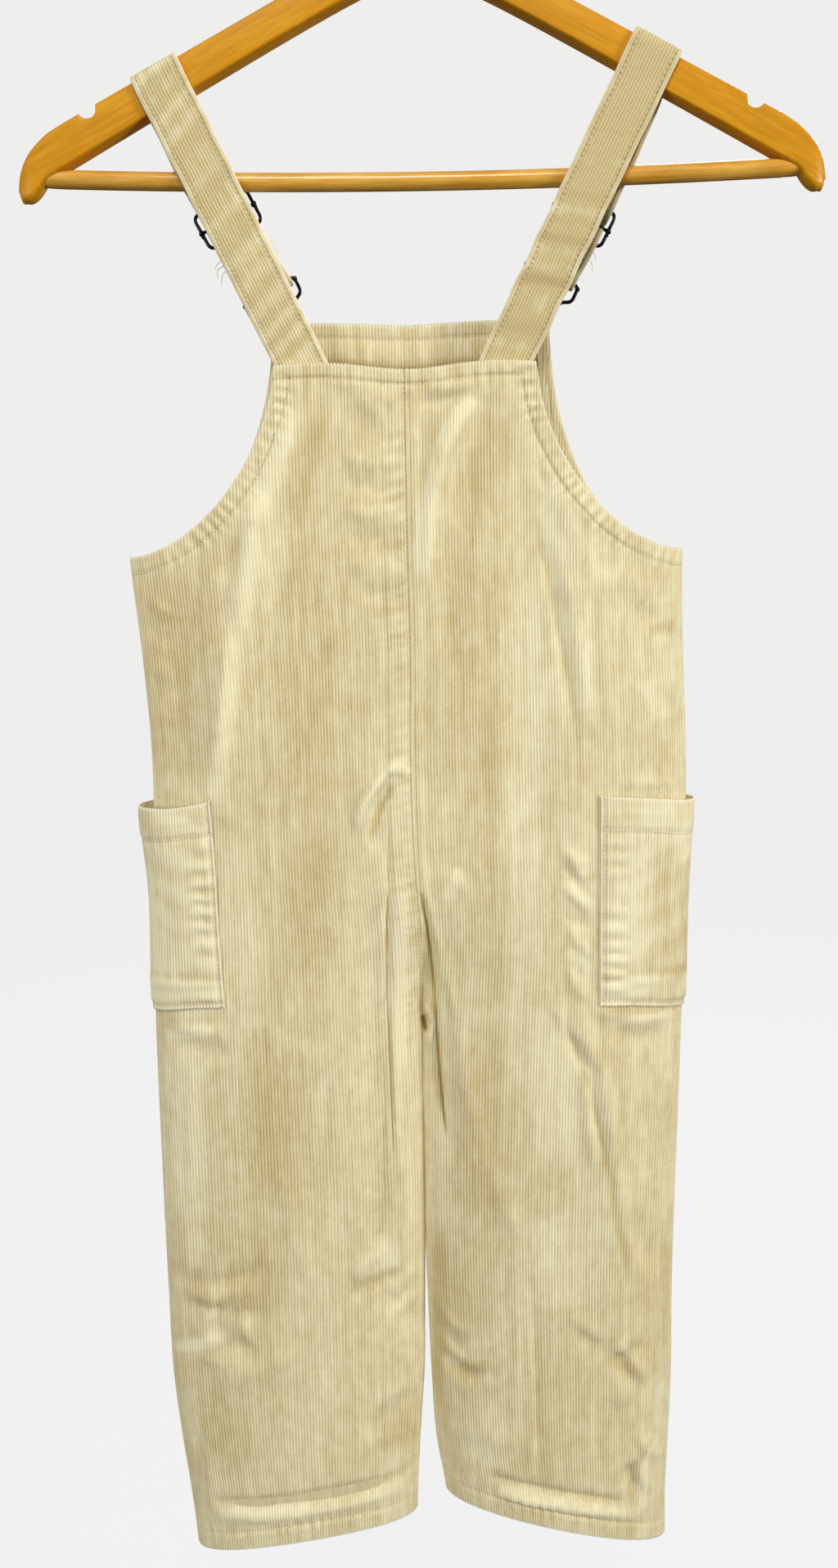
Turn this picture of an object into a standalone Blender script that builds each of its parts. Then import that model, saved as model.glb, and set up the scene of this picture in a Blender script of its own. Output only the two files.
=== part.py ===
"""Child's corduroy bib overalls hanging on a flat wooden coat hanger with a trouser bar.

Metres, +Z up, +X to the wearer's right as seen from behind, -Y towards the garment's back. The
origin is the top of the inside of the hanger's hook, where a rail bears. Dimensions in the tables
are millimetres in that frame.

Each cloth piece is a wall: a grid of points on its outer face, and the same grid moved inwards by
the cloth's thickness. The four panels run from the bib to the hem in one piece. They meet along
the centre seam, the side seams and, below the crotch, the inseams.
"""

import bmesh
import bpy
import numpy as np

MM = 0.001

# Cloth
PANEL_WALL = 1.6
POCKET_WALL = 1.4
FACING_WALL = 1.2
STRAP_THICKNESS = 2.4
STRAP_WIDTH = 28.0
SEAM_GAP = 0.4
LAYER_GAP = 0.5
WIRE_GAP = 0.8

# Garment cut. Sections run across both legs: where the side edges and the inner edges lie, and how
# far each layer stands from the hanger's plane at its fullest.
SECTION_COLUMNS = ("z", "left_side", "right_side", "left_inner", "right_inner", "depth")
SECTIONS = (
    (-255, -172.5, 149.0, -10.7, -10.3, 9.6),
    (-391, -173.5, 148.0, -10.7, -10.3, 13.5),
    (-445, -170.0, 150.0, -10.2, -9.8, 15.5),
    (-505, -168.0, 153.5, -11.2, -10.8, 17.5),
    (-570, -170.5, 155.0, -10.2, -9.8, 19.5),
    (-625, -174.0, 155.5, -7.2, -6.8, 21.0),
    (-681, -176.5, 156.0, -8.6, -7.8, 22.0),
    (-770, -178.5, 155.5, -8.9, -7.5, 22.0),
    (-865, -180.0, 155.0, -9.3, -7.3, 22.0),
    (-930, -180.5, 156.5, -10.2, -6.4, 22.5),
    (-985, -177.0, 156.0, -14.0, -3.5, 23.5),
    (-1025, -173.5, 155.0, -16.2, 2.4, 24.0),
    (-1067, -171.0, 156.0, -17.2, 4.6, 24.0),
)
FLATNESS = 4.0
ROUNDNESS = 2.2
CROTCH_Z = -681
CROTCH_RISE = 105
CROTCH_SWEEP = 3.0
SIDE_TOP_Z = -391
CENTRE_X = -10.5

# Bibs: the top edge's reach to each side of the centre, its height, how far its middle dips, and
# the two powers of the superellipse that the armhole follows down to the side seam.
BIB_COLUMNS = ("left_reach", "right_reach", "top_z", "dip", "across_power", "down_power")
BIBS = {
    "back": (75.0, 72.5, -286.5, 4.5, 1.75, 1.70),
    "front": (76.5, 81.0, -262.5, 2.0, 2.00, 1.85),
}

# Hems: height at the inseam, height at the side seam, and the power of the curve between them.
HEMS = {"left": (-1040, -1065, 1.6), "right": (-1025, -1064, 1.1)}

# Largest folds of each layer: a line from one end to the other, how far its middle bows to the
# right of it, how far the fold stands out (or in, where negative) and its half width.
FOLD_COLUMNS = ("start_x", "start_z", "end_x", "end_z", "bow", "height", "width")
FOLDS = {
    "back": (
        (-98, -340, -136, -545, 4, 4.0, 15),
        (-146, -405, -152, -530, 0, -2.5, 15),
        (20, -296, -6, -410, 2, 1.6, 9),
        (54, -312, 52, -570, 3, -2.0, 15),
        (89, -318, 82, -600, -3, 2.4, 15),
        (-24, -575, -25, -850, 3, 2.8, 9),
        (-37, -590, -39, -842, 3, -2.8, 8),
        (1, -672, 10, -775, 1, -4.5, 8),
        (18, -640, 24, -800, 2, 2.4, 10),
        (96, -675, 114, -910, -8, 3.4, 13),
        (128, -730, 136, -860, -3, -2.2, 12),
        (104, -893, 140, -948, -3, -2.6, 8),
        (113, -950, 136, -915, 3, 2.2, 8),
        (-170, -862, -110, -915, 4, -2.4, 9),
        (-150, -930, -92, -905, -3, 2.2, 10),
        (-40, -860, -10, -893, 2, -2.2, 8),
        (-12, -880, 30, -932, 3, -2.4, 8),
        (-164, -1030, -22, -1001, -6, -3.4, 7),
        (12, -1000, 138, -1041, 5, -3.4, 7),
        (131, -975, 147, -1045, 2, 2.4, 8),
    ),
    "front": (
        (84, -345, 118, -560, -4, 3.6, 15),
        (135, -420, 141, -560, 0, -2.2, 14),
        (-62, -300, -58, -520, 4, -2.2, 15),
        (-100, -372, -92, -610, -4, 2.6, 14),
        (22, -300, 30, -480, 3, 1.8, 13),
        (16, -600, 22, -860, -3, 2.8, 9),
        (29, -612, 36, -840, -3, -2.6, 9),
        (-30, -655, -42, -810, 3, 2.2, 11),
        (-110, -700, -128, -930, 7, 3.2, 14),
        (-146, -760, -152, -900, 2, -2.2, 12),
        (-120, -905, -164, -968, 4, -2.6, 9),
        (60, -868, 118, -925, 4, -2.6, 9),
        (-60, -880, -14, -930, -4, -2.2, 9),
        (-160, -1026, -30, -1008, 5, -3.2, 7),
        (16, -1004, 140, -1038, -6, -3.2, 7),
        (90, -960, 104, -1040, 2, 2.4, 9),
    ),
}

# Where each panel's columns stand, from its inner edge (0) to its side seam (1), and its rows: the
# share of the way from the top edge to the crotch, then from the crotch to the hem.
EDGE_COLUMNS = (0, 0.005, 0.025, 0.07)
FLAT_COLUMNS = (0.14, 0.22, 0.30, 0.38)
ARMHOLE_COLUMNS = (0.03, 0.09, 0.19, 0.32, 0.47, 0.62, 0.77, 0.89, 0.97, 1.0)
BODY_ROWS = (0, 0.03, 0.10, 0.18, 0.27, 0.36, 0.45, 0.54, 0.63, 0.72, 0.80, 0.87, 0.93, 0.975)
LEG_ROWS = (0, 0.05, 0.12, 0.22, 0.33, 0.44, 0.54, 0.62, 0.70, 0.78, 0.86, 0.93, 0.97, 1.0)

# Patch pockets, each wrapped round a side seam: the mouth's and the bottom's heights, and how far
# the pocket reaches from the side seam over the back and over the front, at its mouth and its bottom.
POCKET_TERMS = ("top_z", "bottom_z", "back_mouth", "back_bottom", "front_mouth", "front_bottom")
POCKETS = {
    "left": (-533, -662, 37, 47, 62, 54),
    "right": (-534, -665, 55, 55, 46, 46),
}
POCKET_MOUTH_GAPE = 3.4
POCKET_COLUMNS = (0, 0.15, 0.35, 0.55, 0.72, 0.86, 0.95, 1.0)
POCKET_ROWS = (0, 0.06, 0.14, 0.3, 0.5, 0.7, 0.87, 1.0)

# Facing inside the front bib
FACING_HALF_WIDTH = 76
FACING_HEIGHT = 66
FACING_DROP = 1.0
FACING_ROWS = 7
FACING_GAP = 0.7

# Hanger
HANGER_THICKNESS = 12.0
ARM_TOP = (-65.5, 0.497, 14.0)
ARM_UNDERSIDE = (-81.4, 0.523, 20.0)
NOTCH_X = 179.5
NOTCH_RADIUS = 5.0
HANGER_END = ((220.0, -171.0), (220.0, -194.5))
HANGER_TIP = ((219.7, -197.2), (217.6, -199.4), (214.6, -199.6), (208.6, -195.8), (205.2, -191.0))
ARM_UNDERSIDE_END = 198.0
ARM_EDGE_RADIUS = 1.6
BAR_RADIUS = 4.75
BAR_END_X = 212.0
BAR_END_Z = -187.4
BAR_SAG = 4.4
BORE_CLEARANCE = 0.45
HOOK_WIRE_RADIUS = 2.0
HOOK_INNER_RADIUS = 19.0
HOOK_SHANK_DEPTH = 12.0
BAR_SEAT_START = (186.0, -188.0)
HOOK_SEAT_RISE = 5.0
SHANK_TOPS = (16.0, 9.0)
HOOK_BEND = (0.6, 1.5)
HOOK_BEND_SPAN = (0.2, 0.85)
HOOK_TURN = (-58, 205)

# Straps: where each crosses the crest of the arm and how far it stands off it, where it enters the
# back bib, where its buckle's bar lies on the front, and how far its slider is down from the crest.
STRAP_COLUMNS = ("crest_x", "crest_lift", "bib_x", "bib_z", "bar_x", "bar_z", "slider_down")
STRAPS = {
    "left": (-142.0, 0.0, -70.0, -285.0, -87.6, -244.0, 78.5),
    "right": (125.4, 0.8, 46.0, -284.5, 73.0, -238.0, 89.5),
}
STRAP_TUCK = 15.0
BIB_STRAP_Y = 7.0
SLIDER_Y = 10.6
BAR_Y = 11.0
WIRE_RADIUS = 1.0
SLIDER_HEIGHT = 19.0
SLIDER_OVERHANG = 2.6
SLIDER_CORNER = 3.8
BUCKLE_OVERHANG = 2.0
BUCKLE_CORNER = 2.6
BUCKLE_SHOULDER = 9.0
BUCKLE_WAIST = 20.0
BUCKLE_WAIST_DROP = 2.6
BUCKLE_HEIGHT = 50.0
BUCKLE_NECK = 9.0
BUTTON_RADIUS = 8.5
BUTTON_THICKNESS = 3.0
BUTTON_STEM_RADIUS = 2.6

# The strap's centre line past its hardware: how far down from the slider's middle bar (or from the
# buckle's bar), how many wire clearances and how many layers of strap it stands out from the wire's
# plane, and what is left over.
PAST_SLIDER = (
    (-9.5, -1, 0, 0),
    (-5.5, 0, 0, -0.2),
    (-2.5, 1, 1, -0.6),
    (0, 1, 1, 0.1),
    (2.5, 1, 1, -0.6),
    (5.5, 0, 0, -0.2),
    (9.5, -1, 0, 0),
    (16, -1, 0, 0.3),
)
ROUND_BUCKLE = (
    (-7, 1, 0, 0.1),
    (-1, 1, 0, 0),
    (1.9, 0.75, 0, 0),
    (3, 0, 0, 0),
    (1.9, -0.75, 0, 0),
    (-1, -1, 0, 0),
    (-7, -1, 0, -0.1),
)
BACK_TO_SLIDER = (
    (16, -1, -1, 0.3),
    (9.5, -1, -1, 0),
    (5.5, -1, 0, -1.6),
    (1.5, -1, 0, -0.1),
)
# Where the straight runs settle: below the crest on both faces of the arm, and above the bib and the slider.
OFF_ARM = (8, 30)
ABOVE_BIB = (-4, 20)
ABOVE_SLIDER = 22
SLIDER_LEAN = 0.6
BACK_SETTLE = 0.6
FRONT_BOW = 2.4

SIDE_SIGN = {"left": -1, "right": 1}
LAYER_SIGN = {"back": -1, "front": 1}

FINISHES = {
    "corduroy": ((0.73, 0.63, 0.44, 1), 0.95, 0.0),
    "wood": ((0.72, 0.36, 0.08, 1), 0.38, 0.0),
    "steel": ((0.62, 0.62, 0.60, 1), 0.25, 1.0),
    "gunmetal": ((0.05, 0.05, 0.055, 1), 0.30, 1.0),
}


# ---------------------------------------------------------------- curves and tables


def smooth_steps(knots, values, at):
    """A smooth curve through the knots: cubic pieces whose slopes are those of the chords on both sides."""
    knots, values, at = (np.asarray(a, float) for a in (knots, values, at))
    slopes = np.gradient(values, knots)
    i = np.clip(np.searchsorted(knots, at) - 1, 0, len(knots) - 2)
    span = knots[i + 1] - knots[i]
    t = np.clip((at - knots[i]) / span, 0, 1)
    start = values[i] * (1 + 2 * t) * (1 - t) ** 2 + slopes[i] * span * t * (1 - t) ** 2
    end = values[i + 1] * t * t * (3 - 2 * t) + slopes[i + 1] * span * t * t * (t - 1)
    return start + end


def named(columns, row):
    """A table's row with its columns' names."""
    return dict(zip(columns, row))


def section(column, z):
    """One column of the section table at any height."""
    rows = np.array(SECTIONS, float)[::-1]
    return smooth_steps(rows[:, 0], rows[:, SECTION_COLUMNS.index(column)], z)


def fold_relief(x, z, layer):
    """How far the layer's folds push it out at a point: a soft bell across each fold's line, fading at both ends."""
    relief = np.zeros(np.broadcast(x, z).shape)
    for row in FOLDS[layer]:
        fold = named(FOLD_COLUMNS, row)
        run = np.array([fold["end_x"] - fold["start_x"], fold["end_z"] - fold["start_z"]], float)
        length = np.hypot(*run)
        run /= length
        from_x = x - fold["start_x"]
        from_z = z - fold["start_z"]
        along = (from_x * run[0] + from_z * run[1]) / length
        beside = from_z * run[0] - from_x * run[1]
        inside = np.clip(along, 0, 1)
        beside = beside + fold["bow"] * 4 * inside * (1 - inside)
        fade = np.clip(1 - np.abs(2 * along - 1) ** 3, 0, 1)
        relief += fold["height"] * fade * np.exp(-((beside / fold["width"]) ** 2))
    return relief


# ---------------------------------------------------------------- the garment's surface


def crotch_sweep(z):
    """0 above the crotch's sweep and 1 at the crotch and below: how far the centre seam has turned under."""
    return np.clip((CROTCH_Z + CROTCH_RISE - z) / CROTCH_RISE, 0, 1) ** CROTCH_SWEEP


def garment_point(side, layer, across, z):
    """A point of the outer face. Across runs from the panel's inner edge (0) to its side seam (1).

    The section is a superellipse: flat in the middle and rounded to the side seam. Below the crotch
    it is rounded to the inseam too, and through the crotch's sweep the centre seam turns under.
    """
    across, z = np.broadcast_arrays(np.asarray(across, float), np.asarray(z, float))
    inner = section(side + "_inner", z)
    outer = section(side + "_side", z)
    x = inner + (outer - inner) * across
    side_round = (1 - across**FLATNESS) ** (1 / ROUNDNESS)
    inner_round = (1 - crotch_sweep(z) * (1 - across) ** FLATNESS) ** (1 / ROUNDNESS)
    stand = (section("depth", z) + fold_relief(x, z, layer)) * side_round * inner_round
    y = LAYER_SIGN[layer] * (SEAM_GAP / 2 + stand)
    return np.stack([x, y, z], axis=-1)


def half_chest(side):
    """The garment's reach from its centre to the side seam, at the foot of the armhole."""
    return abs(section(side + "_side", SIDE_TOP_Z) - CENTRE_X)


def top_edge(side, layer, across):
    """Height of the bib's top edge and the armhole above each column."""
    bib = named(BIB_COLUMNS, BIBS[layer])
    reach = bib[side + "_reach"]
    chest = half_chest(side)
    out = np.asarray(across, float) * chest
    edge = bib["top_z"] - bib["dip"] * np.exp(-((out / 30) ** 2)) - 1.5 * (out / reach) ** 6
    corner = bib["top_z"] - 1.5
    away = np.clip((out - reach) / (chest - reach), 0, 1)
    fall = (1 - (1 - away) ** bib["across_power"]) ** (1 / bib["down_power"])
    return np.where(out <= reach, edge, corner + (SIDE_TOP_Z - corner) * fall)


def hem_edge(side, across):
    """Height of the hem under each column."""
    inner_z, outer_z, power = HEMS[side]
    return inner_z + (outer_z - inner_z) * np.asarray(across, float) ** power


def panel_columns(side, layer):
    """Columns close together at the rounded edges and where the armhole falls steeply."""
    corner = named(BIB_COLUMNS, BIBS[layer])[side + "_reach"] / half_chest(side)
    armhole = corner + (1 - corner) * np.array(ARMHOLE_COLUMNS)
    return np.concatenate([EDGE_COLUMNS, FLAT_COLUMNS, [corner], armhole])


def outward(grid, layer):
    """Unit normals of a grid of points, facing away from the hanger's plane."""
    down = np.gradient(grid, axis=0)
    over = np.gradient(grid, axis=1)
    normal = np.cross(over, down)
    normal /= np.linalg.norm(normal, axis=-1, keepdims=True)
    middle = normal[len(grid) // 3, grid.shape[1] // 3]
    return normal * np.sign(middle[1] * LAYER_SIGN[layer])


def panel_grids(side, layer):
    """Outer and inner points of one panel's wall. Edge columns move only within their seam's plane."""
    across = panel_columns(side, layer)
    top = top_edge(side, layer, across)
    hem = hem_edge(side, across)
    body = top + (CROTCH_Z - top) * np.array(BODY_ROWS)[:, None]
    legs = CROTCH_Z + (hem - CROTCH_Z) * np.array(LEG_ROWS)[:, None]
    z = np.concatenate([body, legs])
    outer = garment_point(side, layer, across, z)
    normal = outward(outer, layer)
    normal[:, -1] = (SIDE_SIGN[side], 0, 0)
    normal[: len(body), 0, 0] = 0
    normal[len(body) :, 0, 1] = 0
    normal[len(body), 0] = (-SIDE_SIGN[side], 0, -1)
    normal[0, :, 2] = 0
    normal[-1, :, 2] = 0
    normal /= np.linalg.norm(normal, axis=-1, keepdims=True)
    inner = outer - normal * PANEL_WALL
    inner[..., 1] = LAYER_SIGN[layer] * np.maximum(inner[..., 1] * LAYER_SIGN[layer], SEAM_GAP / 2)
    return outer, inner


# ---------------------------------------------------------------- meshes and materials


def finish_of(name, kind):
    """The object's own material, in one of the four finishes."""
    colour, roughness, metallic = FINISHES[kind]
    material = bpy.data.materials.new(name)
    material.use_nodes = True
    shader = material.node_tree.nodes["Principled BSDF"]
    shader.inputs["Base Color"].default_value = colour
    shader.inputs["Roughness"].default_value = roughness
    shader.inputs["Metallic"].default_value = metallic
    material.diffuse_color = colour
    return material


def add_object(name, points, faces, kind, sharp=40):
    """An object from points in millimetres, with its faces turned outwards and shaded smooth."""
    mesh = bpy.data.meshes.new(name)
    mesh.from_pydata((np.asarray(points) * MM).tolist(), [], [list(map(int, f)) for f in faces])
    shell = bmesh.new()
    shell.from_mesh(mesh)
    bmesh.ops.recalc_face_normals(shell, faces=shell.faces)
    shell.to_mesh(mesh)
    shell.free()
    mesh.shade_smooth()
    mesh.set_sharp_from_angle(angle=np.radians(sharp))
    mesh.materials.append(finish_of(name, kind))
    obj = bpy.data.objects.new(name, mesh)
    bpy.context.scene.collection.objects.link(obj)
    return obj


def grid_faces(rows, columns, start=0):
    """Quads of a grid of points stored row by row."""
    corner = start + np.arange(rows - 1)[:, None] * columns + np.arange(columns - 1)
    quads = np.stack([corner, corner + 1, corner + columns + 1, corner + columns], axis=-1)
    return quads.reshape(-1, 4)


def add_wall(name, outer, inner, kind="corduroy"):
    """A closed wall between two grids: both faces, and a strip along each of the four edges."""
    rows, columns = outer.shape[:2]
    count = rows * columns
    index = np.arange(count).reshape(rows, columns)
    rim = np.concatenate([index[0], index[1:, -1], index[-1, -2::-1], index[-2:0:-1, 0]])
    following = np.roll(rim, -1)
    edge = np.stack([rim, following, following + count, rim + count], axis=-1)
    faces = np.concatenate([grid_faces(rows, columns), grid_faces(rows, columns, count), edge])
    points = np.concatenate([outer.reshape(-1, 3), inner.reshape(-1, 3)])
    return add_object(name, points, faces, kind)


def path_frames(path, closed=False):
    """Unit tangents of a path, and two directions across it that turn as little as they can."""
    if closed:
        tangent = np.roll(path, -1, axis=0) - np.roll(path, 1, axis=0)
    else:
        tangent = np.gradient(path, axis=0)
    tangent /= np.linalg.norm(tangent, axis=1, keepdims=True)
    first = np.cross(tangent, (0, 1, 0))
    first /= np.linalg.norm(first, axis=1, keepdims=True)
    return tangent, first, np.cross(tangent, first)


def wire_mesh(path, radius, closed=False, sides=8):
    """Points and faces of a round wire along a path that never runs along Y."""
    _, first, second = path_frames(path, closed)
    turn = 2 * np.pi * np.arange(sides) / sides
    ring = np.cos(turn)[None, :, None] * first[:, None] + np.sin(turn)[None, :, None] * second[:, None]
    points = (path[:, None] + radius * ring).reshape(-1, 3)
    rings = len(path)
    at = np.arange(rings if closed else rings - 1)[:, None]
    here = at * sides + np.arange(sides)
    beside = at * sides + (np.arange(sides) + 1) % sides
    faces = np.stack([here, beside, beside + sides, here + sides], axis=-1).reshape(-1, 4)
    if closed:
        return points, [list(f) for f in faces % len(points)]
    caps = [list(range(sides)), list(range(sides * (rings - 1), sides * rings))]
    return points, [list(f) for f in faces] + caps


def add_wire(name, path, radius, kind, closed=False, sides=8):
    points, faces = wire_mesh(np.asarray(path, float), radius, closed, sides)
    return add_object(name, points, faces, kind, sharp=50)


def join_by_boolean(target, other, operation):
    """Unites the target with the other object, or cuts it by it, and leaves the other as a hidden guide."""
    other.hide_render = True
    other.display_type = "WIRE"
    modifier = target.modifiers.new(operation.title(), "BOOLEAN")
    modifier.operation = operation
    modifier.solver = "EXACT"
    modifier.object = other


# ---------------------------------------------------------------- cloth pieces


def make_panels():
    for layer in ("back", "front"):
        for side in ("left", "right"):
            outer, inner = panel_grids(side, layer)
            add_wall(f"{layer}_{side}", outer, inner)


def make_facing():
    """The front bib's facing: the bib's own points moved inwards, past its wall and the gap between layers."""
    half = np.array(FLAT_COLUMNS) / FLAT_COLUMNS[-1]
    out = np.concatenate([-half[::-1], [0], half]) * FACING_HALF_WIDTH
    columns = []
    for offset in out:
        side = "left" if offset < 0 else "right"
        across = abs(offset) / half_chest(side)
        z = top_edge(side, "front", across) - FACING_DROP - FACING_HEIGHT * np.linspace(0, 1, FACING_ROWS)
        columns.append(garment_point(side, "front", across, z))
    face = np.stack(columns, axis=1)
    normal = outward(face, "front")
    outer = face - normal * (PANEL_WALL + FACING_GAP)
    add_wall("front_facing", outer, outer - normal * FACING_WALL)


def make_pocket(side):
    """A patch pocket: the back and front panels' points round the side seam, moved out, with a standing mouth."""
    pocket = named(POCKET_TERMS, POCKETS[side])
    down = np.array(POCKET_ROWS)[:, None]
    z = pocket["top_z"] + (pocket["bottom_z"] - pocket["top_z"]) * down
    width = abs(section(side + "_side", z) - section(side + "_inner", z))
    share = np.array(POCKET_COLUMNS)
    faces = []
    for layer in ("back", "front"):
        reach = pocket[layer + "_mouth"] + (pocket[layer + "_bottom"] - pocket[layer + "_mouth"]) * down
        across = 1 - reach / width * (1 - share) ** 1.5
        faces.append(garment_point(side, layer, across, z))
    back, front = faces
    back[:, -1, 1] = 0
    face = np.concatenate([back, front[:, -2::-1]], axis=1)
    normal = np.cross(np.gradient(face, axis=1), np.gradient(face, axis=0))
    normal /= np.linalg.norm(normal, axis=-1, keepdims=True)
    normal *= np.sign(normal[0, len(share) - 1, 0] * SIDE_SIGN[side])
    round_side = np.concatenate([share, share[-2::-1]])
    gape = POCKET_MOUTH_GAPE * np.sin(round_side * np.pi / 2) ** 2 * np.exp(-((down / 0.35) ** 2))
    inner = face + normal * (LAYER_GAP + gape)[..., None]
    add_wall(f"pocket_{side}", inner + normal * POCKET_WALL, inner)


# ---------------------------------------------------------------- straps and their hardware


def arm_top(x):
    """Height of the hanger's upper edge: two straight slopes joined by a hyperbola's round crest."""
    height, slope, rounding = ARM_TOP
    return height - slope * np.sqrt(np.asarray(x, float) ** 2 + rounding**2)


def strap_lines(side):
    """The strap's row, its crest on the arm, and the ways down its back run and its front run, in (x, z)."""
    strap = named(STRAP_COLUMNS, STRAPS[side])
    crest = np.array([strap["crest_x"], arm_top(strap["crest_x"])])
    back = np.array([strap["bib_x"], strap["bib_z"]]) - crest
    front = np.array([strap["bar_x"], strap["bar_z"]]) - crest
    return strap, crest, back, front


def strap_centre(side, run, down):
    """Points of the strap's middle in (x, z): straight down the back run, and bowed outwards down the front run."""
    _, crest, back, front = strap_lines(side)
    back_length, bar_down = np.hypot(*back), np.hypot(*front)
    run, down = (np.asarray(a, float)[..., None] for a in (run, down))
    way = np.where(run > 0.5, front / bar_down, back / back_length)
    share = np.clip(down / bar_down, 0, 1)
    return crest + way * down + run * 4 * share * (1 - share) * np.array([SIDE_SIGN[side] * FRONT_BOW, 0])


def strap_profile(side):
    """Centre line of the strap as (run, down, y): run 0 is the back, 1 the front, and down is the way from the crest."""
    strap, _, back, front = strap_lines(side)
    back_length = np.hypot(*back)
    bar_down = np.hypot(*front)
    slider = strap["slider_down"]
    wood = HANGER_THICKNESS / 2 + LAYER_GAP + STRAP_THICKNESS / 2
    layer = STRAP_THICKNESS + LAYER_GAP
    wire = WIRE_RADIUS + WIRE_GAP + STRAP_THICKNESS / 2
    bend = ARM_EDGE_RADIUS + LAYER_GAP + STRAP_THICKNESS / 2
    turn = np.radians([0, 30, 60, 90])
    corner_down = ARM_EDGE_RADIUS - (bend + strap["crest_lift"]) * np.sin(turn)
    corner_y = HANGER_THICKNESS / 2 - ARM_EDGE_RADIUS + bend * np.cos(turn)
    below_arm, above_bib = np.array(OFF_ARM), back_length - np.array(ABOVE_BIB)
    points = [
        (0, back_length + STRAP_TUCK, -BIB_STRAP_Y),
        *((0, down, -BIB_STRAP_Y) for down in above_bib),
        (0, back_length * BACK_SETTLE, -wood),
        *((0, down, -wood) for down in below_arm[::-1]),
        *((0, down, -y) for down, y in zip(corner_down, corner_y)),
        *((1, down, y) for down, y in zip(corner_down[::-1], corner_y[::-1])),
        *((1, down, wood) for down in below_arm),
        (1, slider - ABOVE_SLIDER, wood + SLIDER_LEAN),
    ]
    for table, start, plane in ((PAST_SLIDER, slider, SLIDER_Y), (ROUND_BUCKLE, bar_down, BAR_Y), (BACK_TO_SLIDER, slider, SLIDER_Y)):
        points += [(1, start + down, plane + out * wire + layers * layer + rest) for down, out, layers, rest in table]
    return np.array(points, float)


def make_strap(side):
    """A flat ribbon swept along the strap's centre line, its width square to the run and level with the cloth."""
    _, _, back, front = strap_lines(side)
    run, down, y = strap_profile(side).T
    way = np.where(run[:, None] > 0.5, front / np.hypot(*front), back / np.hypot(*back))
    centre = strap_centre(side, run, down)
    path = np.stack([centre[:, 0], y, centre[:, 1]], axis=1)
    turned = np.gradient(np.stack([y, down], axis=1), axis=0)
    turned /= np.linalg.norm(turned, axis=1, keepdims=True)
    width = np.stack([-way[:, 1], np.zeros(len(way)), way[:, 0]], axis=1)
    width = width * SIDE_SIGN[side] * -1
    lean = np.stack([way[:, 0], np.zeros(len(way)), way[:, 1]], axis=1)
    thick = np.array([0, 1.0, 0]) * turned[:, 1:] - lean * turned[:, :1]
    half_width = width * STRAP_WIDTH / 2
    half_thick = thick * STRAP_THICKNESS / 2
    corners = [path + a * half_width + b * half_thick for a, b in ((-1, -1), (1, -1), (1, 1), (-1, 1))]
    points = np.stack(corners, axis=1).reshape(-1, 3)
    faces = []
    for ring in range(len(path) - 1):
        for corner in range(4):
            beside = (corner + 1) % 4
            here, ahead = ring * 4, ring * 4 + 4
            faces.append([here + corner, here + beside, ahead + beside, ahead + corner])
    last = len(points) - 4
    faces += [[0, 1, 2, 3], [last, last + 1, last + 2, last + 3]]
    add_object(f"strap_{side}", points, faces, "corduroy", sharp=60)


def strap_place(side, beside, down, y):
    """A point of the strap's front run: beside its centre line, down from the crest, and at depth y."""
    front = strap_lines(side)[3]
    across = np.array([-front[1], front[0]]) / np.hypot(*front)
    beside, down, y = np.broadcast_arrays(*(np.asarray(a, float) for a in (beside, down, y)))
    centre = strap_centre(side, 1.0, down) + across * beside[..., None]
    return np.stack([centre[..., 0], y, centre[..., 1]], axis=-1)


def rounded_loop(half_outline, radius, steps=4):
    """A closed loop with round corners, from the (beside, down) corners of its right half and their mirror images."""
    right = np.array(half_outline, float)
    corners = np.concatenate([right, right[::-1] * (-1, 1)])
    points = []
    for i, corner in enumerate(corners):
        before = corners[i - 1] - corner
        after = corners[(i + 1) % len(corners)] - corner
        before /= np.hypot(*before)
        after /= np.hypot(*after)
        for t in np.linspace(0, 1, steps + 1):
            points.append(corner + radius * ((1 - t) ** 2 * before + t**2 * after))
    return np.array(points)


def make_slider(side):
    """A three-bar slider: a round-cornered wire loop with a bar across its middle."""
    half_width = STRAP_WIDTH / 2 + SLIDER_OVERHANG
    half_height = SLIDER_HEIGHT / 2
    middle = strap_lines(side)[0]["slider_down"]
    loop = rounded_loop([(half_width, middle - half_height), (half_width, middle + half_height)], SLIDER_CORNER)
    path = strap_place(side, loop[:, 0], loop[:, 1], SLIDER_Y)
    frame = add_wire(f"slider_{side}", path, WIRE_RADIUS, "gunmetal", closed=True)
    ends = strap_place(side, np.array([-half_width, half_width]), middle, SLIDER_Y)
    bar = add_wire(f"slider_bar_{side}", ends, WIRE_RADIUS * 0.94, "gunmetal")
    join_by_boolean(frame, bar, "UNION")


def button_place(side):
    """Centre of the button's back, on the front bib's outer face below the buckle's bar."""
    _, _, _, front = strap_lines(side)
    down = np.hypot(*front) + BUCKLE_HEIGHT - BUCKLE_NECK / 2 - BUTTON_STEM_RADIUS - WIRE_RADIUS
    x, _, z = strap_place(side, 0, down, 0)
    across = (x - section(side + "_inner", z)) / (section(side + "_side", z) - section(side + "_inner", z))
    y = garment_point(side, "front", across, z)[1]
    return np.array([x, y, z])


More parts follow.
